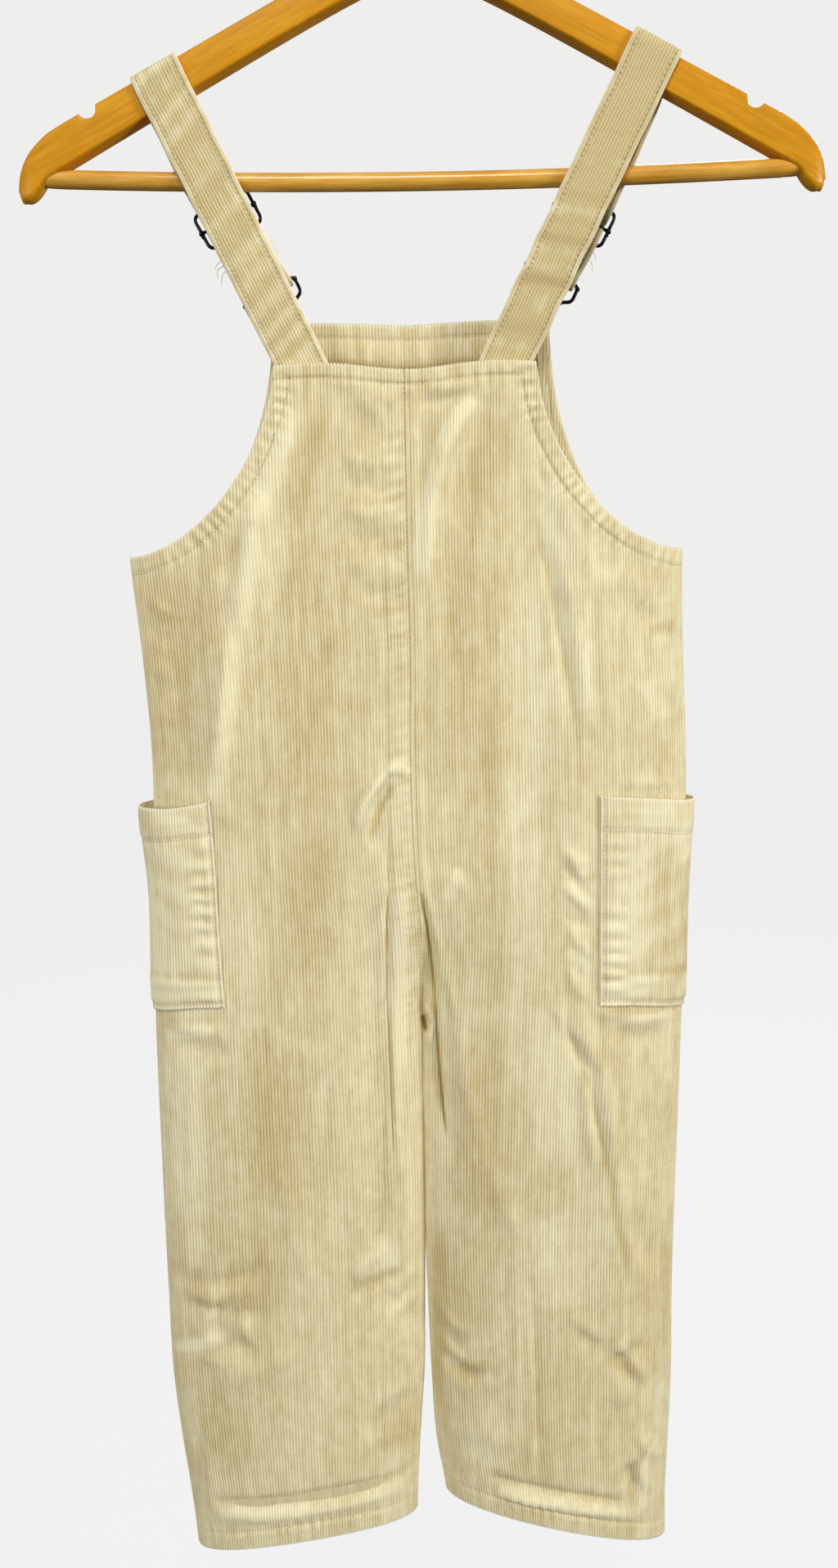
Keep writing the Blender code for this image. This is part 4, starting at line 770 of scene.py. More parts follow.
def rim_faces(outer, inner, down, over):
    """Faces between a fine outer grid's border and the coarse inner grid's, one for each coarse stretch."""
    last_row, last_column = outer.shape[0] - 1, outer.shape[1] - 1
    faces = []
    for fine, plain, places in (
        (outer[0], inner[0], over),
        (outer[:, -1], inner[:, -1], down),
        (outer[-1, ::-1], inner[-1, ::-1], last_column - over[::-1]),
        (outer[::-1, 0], inner[::-1, 0], last_row - down[::-1]),
    ):
        for k in range(len(places) - 1):
            faces.append([*fine[places[k] : places[k + 1] + 1], plain[k + 1], plain[k]])
    return faces


def turned_in(grid, towards):
    """Whether a grid's quads face away from a direction."""
    quad = grid[len(grid) // 3 : len(grid) // 3 + 2, grid.shape[1] // 3 : grid.shape[1] // 3 + 2]
    return np.cross(quad[0, 1] - quad[0, 0], quad[1, 0] - quad[0, 0]) @ np.asarray(towards, float) < 0


def wale_ridge(wales):
    """How high a wale stands across its width: a flat-topped wave, from 0 in a groove to 1 on a crown."""
    return np.sin(np.pi * (wales % 1.0)) ** WALE_FULLNESS


def cloth_shell(name, face, towards, wales, height, materials, wall, rim, ends, extra, lined=None, lining=None):
    """A closed cloth shell round a grid of outer points: wales as ridges, a rounded rim, and a plain inner face.

    The wales' count and the height give the UV. Near the rim, within its radius, the outer face drops and the
    inner face rises by a quarter circle of the distance. At open ends the ridges stand out as small teeth.
    """
    rows, columns = face.shape[:2]
    wales = np.broadcast_to(wales, rim.shape)
    ridge = wale_ridge(wales)
    inside = np.clip(rim / RIM_RADIUS, 0, 1)
    drop = RIM_RADIUS * 0.75 * (1 - np.sqrt(1 - (1 - inside) ** 2))
    outer = face + face_normals(face, towards) * (WALE_HEIGHT * (ridge - 0.5) - drop)[..., None]
    outer[..., 2] += ends * ridge * TOOTH
    lining = face if lining is None else lining
    down, over = coarse(rows, 3), coarse(columns, STEPS_PER_WALE)

    def spread(values):
        """A grid's values for the outer points and again for the inner ones."""
        shape = (-1, *values.shape[2:])
        return np.concatenate([values.reshape(shape), values[np.ix_(down, over)].reshape(shape)])

    inner = (lining - face_normals(lining, towards) * (wall - drop * 0.9)[..., None])[np.ix_(down, over)]
    index = grid_index(rows, columns)
    inner_index = grid_index(len(down), len(over), rows * columns)
    outer_faces, inner_faces = grid_quads(index), grid_quads(inner_index)[:, ::-1]
    rims = rim_faces(index, inner_index, down, over)
    if turned_in(outer, towards):
        outer_faces, inner_faces = outer_faces[:, ::-1], inner_faces[:, ::-1]
    else:
        rims = [quad[::-1] for quad in rims]
    points = np.concatenate([outer.reshape(-1, 3), inner.reshape(-1, 3)])
    uv = spread(np.stack([wales, height / WALE_PITCH], axis=-1))
    attributes = {key: spread(values) for key, values in {"rim": rim, **extra}.items()}
    reverse = np.ones(len(inner_faces))
    if lined is not None:
        reverse = 1 - lined[np.ix_(down, over)][:-1, :-1].ravel()
    materials_of = np.concatenate([np.zeros(len(outer_faces)), reverse, np.zeros(len(rims))])
    faces = outer_faces.tolist() + inner_faces.tolist() + rims
    return new_object(name, points, faces, materials, uv, attributes, materials_of)


def circles(first, second, sides, start=0.0):
    """A unit circle of points for each place, in the plane of the two directions given there."""
    turn = 2 * np.pi * (np.arange(sides) + start) / sides
    return np.cos(turn)[:, None] * first[:, None] + np.sin(turn)[:, None] * second[:, None]


def tube(path, radius, closed=False, sides=12):
    """Points and faces of a round wire: circles of the radius across each place of the path, capped if open."""
    path = np.asarray(path, float)
    tangent = unit(np.roll(path, -1, axis=0) - np.roll(path, 1, axis=0) if closed else np.gradient(path, axis=0))
    first = unit(np.cross(tangent, (0, 1, 0)))
    radius = np.broadcast_to(np.asarray(radius, float), len(path))
    points = path[:, None] + radius[:, None, None] * circles(first, np.cross(tangent, first), sides)
    index = ring_index(len(path), sides)
    caps = [] if closed else [index[0, :-1].tolist(), index[-1, :-1].tolist()[::-1]]
    if closed:
        index = np.concatenate([index, index[:1]])
    return points.reshape(-1, 3), grid_quads(index)[:, [0, 3, 2, 1]].tolist() + caps


def ball(centre, radii, rings=8, sides=12):
    """Points and faces of a ball, or of an ellipsoid by its three radii: circles of latitude between two poles."""
    lift = np.linspace(0, np.pi, rings + 1)[1:-1, None]
    turn = 2 * np.pi * np.arange(sides) / sides
    body = [np.sin(lift) * np.cos(turn), np.sin(lift) * np.sin(turn), np.cos(lift) + 0 * turn]
    points = np.concatenate([[(0, 0, 1)], np.stack(body, axis=-1).reshape(-1, 3), [(0, 0, -1)]]) * radii + centre
    index = ring_index(rings - 1, sides, 1)
    top = [[0, here, beside] for here, beside in zip(index[0], index[0, 1:])]
    foot = [[len(points) - 1, beside, here] for here, beside in zip(index[-1], index[-1, 1:])]
    return points, top + grid_quads(index)[:, [0, 3, 2, 1]].tolist() + foot


def joined(parts):
    """Several (points, faces) as one."""
    points, faces, start = [], [], 0
    for part_points, part_faces in parts:
        points.append(part_points)
        faces += [[start + int(i) for i in face] for face in part_faces]
        start += len(part_points)
    return np.concatenate(points), faces


def wire_piece(name, parts, material, slot, *nodes, smooth_angle=50):
    """One piece from several (points, faces)."""
    return finish_piece(new_object(name, *joined(parts), [material], smooth_angle=smooth_angle), slot, *nodes)


# One stitch: rings of four points along a short thread that dives into the cloth at both ends. Each row gives a
# ring's place along the stitch, how far it stands out, and its share of the thread's radius.
STITCH_RINGS = ((-0.5, -0.25, 0.45), (-0.30, 0.22, 1.0), (0.30, 0.22, 1.0), (0.5, -0.25, 0.45))
STITCH_SIDES = 4


def stitch_row(points, normals, pitch=STITCH_PITCH, length=STITCH_LENGTH, lean=0.08):
    """Stitches at even steps along a line of surface points: the same small thread turned to the line at each."""
    way = way_along(points)
    at = np.arange(pitch / 2, way[-1], pitch)

    def between(values, places):
        """The line's values at places along its way."""
        return np.stack([np.interp(places, way, values[:, k]) for k in range(3)], axis=-1)

    place = between(points, at)
    tangent = unit(between(points, at + 0.6) - between(points, at - 0.6))
    normal = square_to(between(normals, at), tangent)
    side = np.cross(tangent, normal)
    tangent = tangent + side * lean
    ring = circles(side, normal, STITCH_SIDES, 0.5)
    rings = []
    for along, out, swell in STITCH_RINGS:
        centre = place + tangent * along * length + normal * out
        rings.append(centre[:, None] + ring * THREAD_RADIUS * swell)
    faces = np.array(ring_faces(len(STITCH_RINGS), STITCH_SIDES))
    starts = np.arange(len(at))[:, None, None] * (len(STITCH_RINGS) * STITCH_SIDES)
    return np.stack(rings, axis=1).reshape(-1, 3), (faces + starts).reshape(-1, 4)


# ---------------------------------------------------------------- node groups


def fill(tree, made, values):
    """Gives a node's inputs their values: a link from a socket, or else a constant."""
    for key, value in values.items():
        if isinstance(value, bpy.types.NodeSocket):
            tree.links.new(value, made.inputs[key])
        else:
            made.inputs[key].default_value = value


def node(tree, kind, values=None, **settings):
    """A node with its settings and its inputs' values."""
    made = tree.nodes.new(kind)
    for key, value in settings.items():
        setattr(made, key, value)
    fill(tree, made, values or {})
    return made


def maths(tree, operation, *values, clamp=False):
    """A Math node's result."""
    return node(tree, "ShaderNodeMath", dict(enumerate(values)), operation=operation, use_clamp=clamp).outputs[0]


def add(tree, first, second, clamp=False):
    """A sum of two numbers."""
    return maths(tree, "ADD", first, second, clamp=clamp)


def times(tree, first, second, clamp=False):
    """A product of two numbers."""
    return maths(tree, "MULTIPLY", first, second, clamp=clamp)


def centred(tree, value, gain):
    """How far a value is from a half, times a gain."""
    return times(tree, maths(tree, "SUBTRACT", value, 0.5), gain)


def ramp(tree, value, low, high, to_low=0.0, to_high=1.0):
    """A value carried from one range to another, smoothly and within the new one."""
    values = {"Value": value, "From Min": low, "From Max": high, "To Min": to_low, "To Max": to_high}
    return node(tree, "ShaderNodeMapRange", values, interpolation_type="SMOOTHSTEP").outputs["Result"]


def blend_colours(tree, share, first, second):
    """Two colours mixed by a share."""
    return node(tree, "ShaderNodeMix", {0: share, 6: first, 7: second}, data_type="RGBA").outputs[2]


def noise(tree, vector, scale, detail=2.0, roughness=0.5, stretch=(1, 1, 1)):
    """Noise on a vector, stretched along an axis where its factor is small."""
    mapped = node(tree, "ShaderNodeMapping", {"Vector": vector, "Scale": stretch}).outputs[0]
    values = {"Vector": mapped, "Scale": scale, "Detail": detail, "Roughness": roughness}
    return node(tree, "ShaderNodeTexNoise", values, noise_dimensions="3D").outputs["Fac"]


def bump(tree, height, strength, distance):
    """A normal from a height, with its distance in millimetres."""
    values = {"Height": height, "Strength": strength, "Distance": distance * MM}
    return node(tree, "ShaderNodeBump", values).outputs[0]


def split(tree, vector):
    """A vector's three numbers."""
    return node(tree, "ShaderNodeSeparateXYZ", {0: vector}).outputs


def combined(tree, x, y, z):
    """A vector from three numbers."""
    return node(tree, "ShaderNodeCombineXYZ", {0: x, 1: y, 2: z}).outputs[0]


def cloth_uv(tree):
    """The piece's own UV."""
    return node(tree, "ShaderNodeUVMap", uv_map="UVMap").outputs[0]


def object_place(tree):
    """The place in the object's own coordinates, in metres."""
    return node(tree, "ShaderNodeTexCoord").outputs["Object"]


def new_group(name, vector, number):
    """A shader node group that takes a vector and a number; returns it and the two sockets."""
    group = bpy.data.node_groups.new(name, "ShaderNodeTree")
    for title, kind in ((vector, "NodeSocketVector"), (number, "NodeSocketFloat")):
        group.interface.new_socket(title, in_out="INPUT", socket_type=kind)
    given = group.nodes.new("NodeGroupInput").outputs
    return group, given[vector], given[number]


def group_results(group, **results):
    """The node group, giving out the named numbers."""
    for title in results:
        group.interface.new_socket(title, in_out="OUTPUT", socket_type="NodeSocketFloat")
    node(group, "NodeGroupOutput", results)
    return group


def wale_group():
    """Wales from the first UV number: crown is 1 along each wale's top and 0 in its wavering grooves."""
    group, uv, waver = new_group("Wales", "UV", "Waver")
    drift = centred(group, noise(group, uv, 1.0, 3.0, 0.6, (1.0, 0.35, 1.0)), waver)
    phase = maths(group, "FRACT", add(group, split(group, uv)[0], drift))
    off = maths(group, "ABSOLUTE", centred(group, phase, 2.0))
    crown = maths(group, "SUBTRACT", 1.0, maths(group, "POWER", off, 2.6))
    tuft = noise(group, uv, 3.0, 2.0, 0.6)
    return group_results(group, Crown=crown, Height=add(group, crown, times(group, tuft, 0.35)))


def nap_group():
    """The nap's broad patches and fine fibres, from Object coordinates in metres."""
    group, place, seed = new_group("Nap", "Vector", "Seed")
    shift = combined(group, seed, seed, 0.0)
    moved = node(group, "ShaderNodeVectorMath", {0: place, 1: shift}, operation="ADD").outputs[0]
    return group_results(
        group,
        Patch=ramp(group, noise(group, moved, 26.0, 3.0, 0.55, (1.0, 1.0, 0.35)), 0.36, 0.66),
        Mottle=noise(group, moved, 150.0, 4.0, 0.62, (1.0, 1.0, 0.55)),
        Streak=noise(group, moved, 300.0, 3.0, 0.6, (1.0, 1.0, 0.06)),
        Fibre=noise(group, moved, 1700.0, 2.0, 0.6, (1.0, 1.0, 0.45)),
    )


def grain_group():
    """Wood figure from a UV in metres along and across the grain: long growth lines, mottling and short pores."""
    group, uv, stretch = new_group("Wood grain", "UV", "Stretch")
    along = split(group, uv)
    flat = combined(group, times(group, along[0], stretch), along[1], along[2])
    return group_results(
        group,
        Lines=noise(group, flat, 420.0, 4.0, 0.62),
        Mottle=ramp(group, noise(group, flat, 55.0, 3.0, 0.6, (2.6, 1.0, 1.0)), 0.34, 0.70),
        Pores=ramp(group, noise(group, flat, 1500.0, 1.0, 0.5), 0.60, 0.74),
    )


GROUPS = {"wales": wale_group(), "nap_and_shade": nap_group(), "grain": grain_group()}


def use_group(tree, key, values):
    """A placed node group's outputs."""
    return node(tree, "ShaderNodeGroup", values, node_tree=GROUPS[key]).outputs


# ---------------------------------------------------------------- materials


def new_material(name):
    """A material with its Principled shader; returns it and its node tree."""
    material = bpy.data.materials.new(name)
    material.use_nodes = True
    return material, material.node_tree


def shaded(material, values):
    """The material, with what its shader's inputs take."""
    fill(material.node_tree, material.node_tree.nodes["Principled BSDF"], values)
    return material


def linear(red, green, blue):
    """A colour given as 0 to 255 screen values, in the linear values that a shader takes."""
    screen = np.array([red, green, blue]) / 255
    light = np.where(screen <= 0.04045, screen / 12.92, ((screen + 0.055) / 1.055) ** 2.4)
    return (*light.tolist(), 1.0)


# Cloth colours: wale crowns mix the first and third, grooves the second and fourth, whose darker colour is partly
# painted shade; the fifth is painted shade in deep creases and stitch grooves; the last is for fibre tips and worn
# edges.
CREAM = linear(252, 244, 206)
STRAW = linear(238, 228, 179)
SAND = linear(215, 195, 138)
TAN = linear(173, 152, 98)
SHADE_TAN = linear(140, 112, 62)
PALE = linear(244, 236, 208)


def corduroy(name, lightness=0.0, seed=0.0, worn=0.5, on_grain=False, depth=0.12):
    """Cut-pile corduroy: pale wale crowns, darker grooves partly painted shade, random patches where the nap lies
    the other way, painted light and shade from the piece's tone, painted shade in deep creases and stitch grooves,
    worn edges.
    """
    material, tree = new_material(name)
    uv = cloth_uv(tree)
    place = object_place(tree)
    if on_grain:
        parts = split(tree, uv)
        over, along = (times(tree, parts[k], WALE_PITCH * MM) for k in (0, 1))
        place = combined(tree, over, 0.0, along)
    wales = use_group(tree, "wales", {"UV": uv, "Waver": 0.14})
    nap_and_shade = use_group(tree, "nap_and_shade", {"Vector": place, "Seed": seed})
    tone, edge, stitch_groove_shade = (
        node(tree, "ShaderNodeAttribute", attribute_name=key).outputs["Fac"] for key in ("nap_and_shade", "worn", "seam")
    )
    # The tone attribute carries painted light and shade; it is added to the nap's random patches, streaks and
    # mottling.
    patch = centred(tree, nap_and_shade["Patch"], 0.24)
    patches_and_shade = add(tree, patch, times(tree, tone, 0.62))
    streak = centred(tree, nap_and_shade["Streak"], 0.9)
    mottle = centred(tree, nap_and_shade["Mottle"], 1.0)
    pile_and_shade = add(tree, patches_and_shade, add(tree, streak, mottle))
    light = add(tree, pile_and_shade, 0.54 + lightness, clamp=True)
    # Wale crowns take the paler pair of colours and grooves the darker pair, set darker still by the depth; the
    # grooves' darkness is partly the cloth's own and partly painted shade.
    crown_colour = blend_colours(tree, light, SAND, CREAM)
    groove_colour = blend_colours(tree, maths(tree, "SUBTRACT", light, depth), TAN, STRAW)
    colour = blend_colours(tree, wales["Crown"], groove_colour, crown_colour)
    fuzz = times(tree, ramp(tree, nap_and_shade["Fibre"], 0.3, 0.75), 0.22)
    colour = blend_colours(tree, fuzz, colour, PALE)
    # Painted shade in deep creases: where the tone falls below -1, the colour goes towards the darkest tan.
    crease_shade = times(tree, maths(tree, "SUBTRACT", -1.0, tone), 0.5, clamp=True)
    colour = blend_colours(tree, crease_shade, colour, SHADE_TAN)
    close = times(tree, ramp(tree, edge, 0.0, 2.2, 1.0, 0.0), worn)
    colour = blend_colours(tree, close, colour, PALE)
    # Painted shade in the stitch grooves and the centre ditch: the colour goes a little towards the darkest tan
    # there.
    sewn = times(tree, stitch_groove_shade, 0.16, clamp=True)
    height = add(tree, wales["Height"], times(tree, nap_and_shade["Fibre"], 0.30))
    return shaded(material, {
        "Base Color": blend_colours(tree, sewn, colour, SHADE_TAN),
        "Normal": bump(tree, height, 0.55, 0.35),
        "Roughness": maths(tree, "SUBTRACT", 0.98, times(tree, wales["Crown"], 0.12)),
        "Sheen Weight": 0.30,
        "Sheen Roughness": 0.45,
        "Sheen Tint": (1.0, 0.96, 0.86, 1),
        "Specular IOR Level": 0.20,
    })


def reverse_cloth():
    """The cloth's plain-woven back: a fine over-and-under weave on the UV, with a few slubs."""
    material, tree = new_material("corduroy_reverse")
    uv = cloth_uv(tree)
    nap_and_shade = use_group(tree, "nap_and_shade", {"Vector": object_place(tree), "Seed": 3.0})
    parts = split(tree, uv)
    warp, weft = (maths(tree, "SINE", times(tree, parts[k], 25.0)) for k in (0, 1))
    weave = add(tree, times(tree, times(tree, warp, weft), 0.5), 0.5)
    share = add(tree, times(tree, weave, 0.35), times(tree, nap_and_shade["Streak"], 0.6), clamp=True)
    return shaded(material, {
        "Base Color": blend_colours(tree, share, TAN, CREAM),
        "Normal": bump(tree, weave, 0.4, 0.15),
        "Roughness": 0.92,
        "Sheen Weight": 0.1,
    })


def thread_finish():
    """Spun sewing thread: pale tan, with light and dark along its twist."""
    material, tree = new_material("sewing_thread")
    twist = noise(tree, object_place(tree), 2200.0, 1.0, 0.5)
    return shaded(material, {
        "Base Color": blend_colours(tree, twist, linear(212, 193, 150), linear(250, 242, 216)),
        "Normal": bump(tree, twist, 0.5, 0.1),
        "Roughness": 0.75,
        "Sheen Weight": 0.2,
    })


def varnished_wood(name, dark, middle, pale, coat=0.12):
    """Honey-coloured wood under clear varnish: growth lines, darker mottling, short dark pores."""
    material, tree = new_material(name)
    grain = use_group(tree, "grain", {"UV": cloth_uv(tree), "Stretch": 0.07})
    base = blend_colours(tree, ramp(tree, grain["Lines"], 0.24, 0.76), middle, pale)
    base = blend_colours(tree, times(tree, grain["Mottle"], 0.28), base, dark)
    base = blend_colours(tree, times(tree, grain["Pores"], 0.18), base, linear(96, 48, 8))
    return shaded(material, {
        "Base Color": base,
        "Roughness": add(tree, 0.30, times(tree, grain["Lines"], 0.16)),
        "Normal": bump(tree, grain["Lines"], 0.10, 0.2),
        "Coat Weight": coat,
        "Coat Roughness": 0.16,
        "Specular IOR Level": 0.22,
    })


def metal_finish(name, colour, roughness, scratch):
    """Drawn wire: an even metal, its gloss broken by fine scratches."""
    material, tree = new_material(name)
    marks = noise(tree, object_place(tree), 900.0, 3.0, 0.65, (1, 1, 0.2))
    dull = tuple(c * 0.6 for c in colour[:3]) + (1,)
    return shaded(material, {
        "Roughness": add(tree, roughness, times(tree, marks, scratch)),
        "Base Color": blend_colours(tree, ramp(tree, marks, 0.35, 0.75), colour, dull),
        "Metallic": 1.0,
    })


# ---------------------------------------------------------------- cloth pieces


def even_shares(side, z, count):
    """Shares across a section that are even steps of the way round it, and the length of that way."""
    if z < CROTCH_Z:
        fine = soft_step(np.linspace(0, 1, SECTION_FINE_STEPS))
    else:
        fine = 1 - np.linspace(1, 0, SECTION_FINE_STEPS) ** 3
    inner, outer = edges_at(side, z)
    stand = section("depth", z) * rounds(fine, z)
    way = way_along(np.stack([fine * abs(outer - inner), stand], axis=1))
    return np.interp(np.linspace(0, way[-1], count), way, fine), way[-1]


def panel_grid(side, layer):
    """A panel's shares across and heights: columns along the grain, rows from the top edge through to the hem."""
    wales = int(round(even_shares(side, BODY_SECTION_Z, 2)[1] / WALE_PITCH))
    count = wales * STEPS_PER_WALE + 1
    body, leg = (even_shares(side, z, count)[0] for z in (BODY_SECTION_Z, LEG_SECTION_Z))
    near_top = top_edge(side, layer, body) - np.array(TOP_ROWS, float)[:, None]
    near_hem = hem_edge(side, leg) + np.array(HEM_ROWS, float)[:, None]
    share = (np.arange(1, BODY_ROWS + 1)[:, None] / BODY_ROWS) ** BODY_ROW_CROWDING
    torso = near_top[-1] + (CROTCH_Z - near_top[-1]) * share
    legs = CROTCH_Z + (near_hem[0] - CROTCH_Z) * np.arange(1, LEG_ROWS)[:, None] / LEG_ROWS
    z = np.concatenate([near_top, torso, legs, near_hem])
    turn = soft_step((LEG_BLEND[0] - z) / (LEG_BLEND[0] - LEG_BLEND[1]))
    return body * (1 - turn) + leg * turn, z, np.arange(count) / STEPS_PER_WALE


def make_panel(side, layer, materials):
    """One panel of the garment, from the bib's top edge to the hem."""
    across, z, wales = panel_grid(side, layer)
    face, lining = (cloth_point(side, layer, across, z, sewn) for sewn in (True, False))
    x = face[..., 0]
    gaps = panel_gaps(side, layer, across, x, z)
    top_gap = np.minimum(gaps["bib"], gaps["arm"])
    top_gap[0] = 0
    worn = np.minimum(top_gap, gaps["hem"])
    rim = np.minimum(worn, np.minimum(gaps["seam"], gaps["side"]) * 1.4)
    ends = bell(top_gap, 0, 1) - bell(gaps["hem"], 0, 1)
    # Painted light and shade on the panel: the strokes, and lighter and darker along the puckers' waves.
    tone = nap_and_shade_tone(x, z, layer) + PUCKER_SHADE * sum(pucker_waves(side, layer, gaps, z))
    panel = cloth_shell(
        f"{layer}_panel_{side}", face, (0, LAYER_SIGN[layer], 0), wales, z, materials, CLOTH, rim, ends,
        {"nap_and_shade": tone, "worn": worn, "seam": stitch_shade_mask(side, gaps, z)}, top_gap < ARMHOLE_FACING, lining,
    )
    finish_piece(panel, "corduroy", f"{layer}_{side}")


def make_facing(materials):
    """The facing inside the front bib: the bib's own points moved inwards, its wales towards the back."""
    count = int(2 * FACING_HALF_WIDTH / WALE_PITCH) * STEPS_PER_WALE + 1
    out = np.linspace(-FACING_HALF_WIDTH, FACING_HALF_WIDTH, count)
    drops = np.array([*FACING_TOP_ROWS, *np.linspace(12, FACING_HEIGHT - 1, 20), FACING_HEIGHT])
    columns = []
    for offset in out:
        side = "left" if offset < 0 else "right"
        across = abs(offset) / half_chest(side)
        z = top_edge(side, "front", across) - 0.6 - drops
        columns.append(cloth_point(side, "front", across, z, sewn=False))
    face = np.stack(columns, axis=1)
    x, z = face[..., 0], face[..., 2]
    normal = face_normals(face, (0, -1, 0))
    ridge = 0.9 * bell(drops, 15, 5.0) - 0.8 * bell(drops, FACING_STITCH, 0.9)
    ridge = ridge[:, None] + 0.35 * uneven(x, 9.0, 2.0) * bell(drops, 9, 6.0)[:, None]
    cloth = face + normal * (CLOTH + LAYER_GAP + FACING_CLOTH + 0.1 + ridge)[..., None]
    top_gap = np.broadcast_to(drops[:, None], z.shape)
    rim = np.minimum(top_gap, np.minimum(FACING_HEIGHT - drops[:, None], FACING_HALF_WIDTH - np.abs(out)))
    # Painted light and shade on the facing: a slightly uneven tone, and a painted shadow along its foot just above
    # the back bib's top edge.
    deep = z - (top_edge("left", "back", np.abs(out) / half_chest("left")) + 1)
    tone = 0.3 * uneven(x, 16, 4) - 0.25 - 2.2 * soft_step(1 - deep / 6)
    # Painted shade along the facing's stitch groove.
    stitch_shade_lines = bell(top_gap, FACING_STITCH, 0.8)
    facing = cloth_shell(
        "front_bib_facing", cloth, (0, -1, 0), out / WALE_PITCH, z, materials, FACING_CLOTH, rim,
        bell(top_gap, 0, 1), {"nap_and_shade": tone, "worn": top_gap, "seam": stitch_shade_lines},
    )
    finish_piece(facing, "corduroy", "front_facing")
    place = nearest(drops, FACING_STITCH)
    return stitch_row(cloth[place, 8:-8], normal[place, 8:-8])


def pocket_face(side, turn, down):
    """Points of the panels under a pocket: turn runs from its back edge (0) round the side to its front (2)."""
    pocket = named(POCKET_TERMS, POCKETS[side])
    z = pocket["top_z"] + (pocket["bottom_z"] - pocket["top_z"]) * down
    z = z - POCKET_DROOP * np.sin(np.pi / 2 * turn) ** 2
    inner, outer = edges_at(side, z)
    points = np.zeros((*np.broadcast(turn, down).shape, 3))
    for layer, share in (("back", turn), ("front", 2 - turn)):
        reach = pocket[layer + "_mouth"] + (pocket[layer + "_bottom"] - pocket[layer + "_mouth"]) * down
        across = 1 - reach / abs(outer - inner) * (1 - np.clip(share, 0, 1)) ** 1.5
        here = cloth_point(side, layer, across, z, sewn=False)
        points = np.where((share <= 1)[..., None], here, points)
    return points


def pocket_lift(pocket, seed, drop, foot, edge, beside, width):
    """How far a pocket stands off the panels, from the distances to its mouth, its foot and its nearer edge."""
    gape = pocket["gape"] * np.sin(np.clip(edge / (width / 2), 0, 1) * np.pi / 2) ** 1.5 * bell(drop, 0, 42)
    lift = CONTACT_GAP + gape
    lift += 0.9 * soft_step((edge - 1.5) / 5) * soft_step((foot - 1.5) / 5)
    lift += 0.5 * soft_step((POCKET_BAND - drop) / 1.4) - 0.8 * bell(drop, POCKET_BAND, 0.9)
    lift -= 0.6 * bell(edge, POCKET_EDGE_STITCH, 0.8) + 0.6 * bell(foot, POCKET_FOOT_STITCH, 0.8)
    lift += 1.15 * uneven(drop, 11.0, seed) * bell(edge, 9, 7.0) * soft_step((drop - 18) / 12)
    lift += 0.30 * uneven(beside, 7.0, seed) * bell(drop - POCKET_BAND, 3, 4)
    lift += 0.9 * bell(foot - 0.12 * edge, 13, 3.2) * bell(edge, 30, 22)
    lift += 0.5 * bell(drop, 9.5, 1.6) * bell(edge, 20, 18)
    return lift


def pocket_tone(shade, seed, drop, foot, edge, beside):
    """Painted light and shade on a pocket over an uneven tone: a lit band on the puff above its foot with a shaded
    line over it, light and dark along the ripples beside its edges, and its middle darker or lighter.
    """
    tone = 0.35 + 0.35 * uneven(beside + 0.25 * drop, 26, seed) + 0.3 * uneven(drop + 0.6 * edge, 21, seed + 0.5)
    tone += 0.6 * bell(foot - 0.1 * edge, 11, 6) - 0.7 * bell(foot - 0.1 * edge, 19, 3)
    tone += 0.5 * uneven(drop, 11.0, seed) * bell(edge, 9, 9.0) * soft_step((drop - 16) / 6)
    tone -= shade * soft_step((edge - 24) / 14) * soft_step((drop - 20) / 30)
    return tone


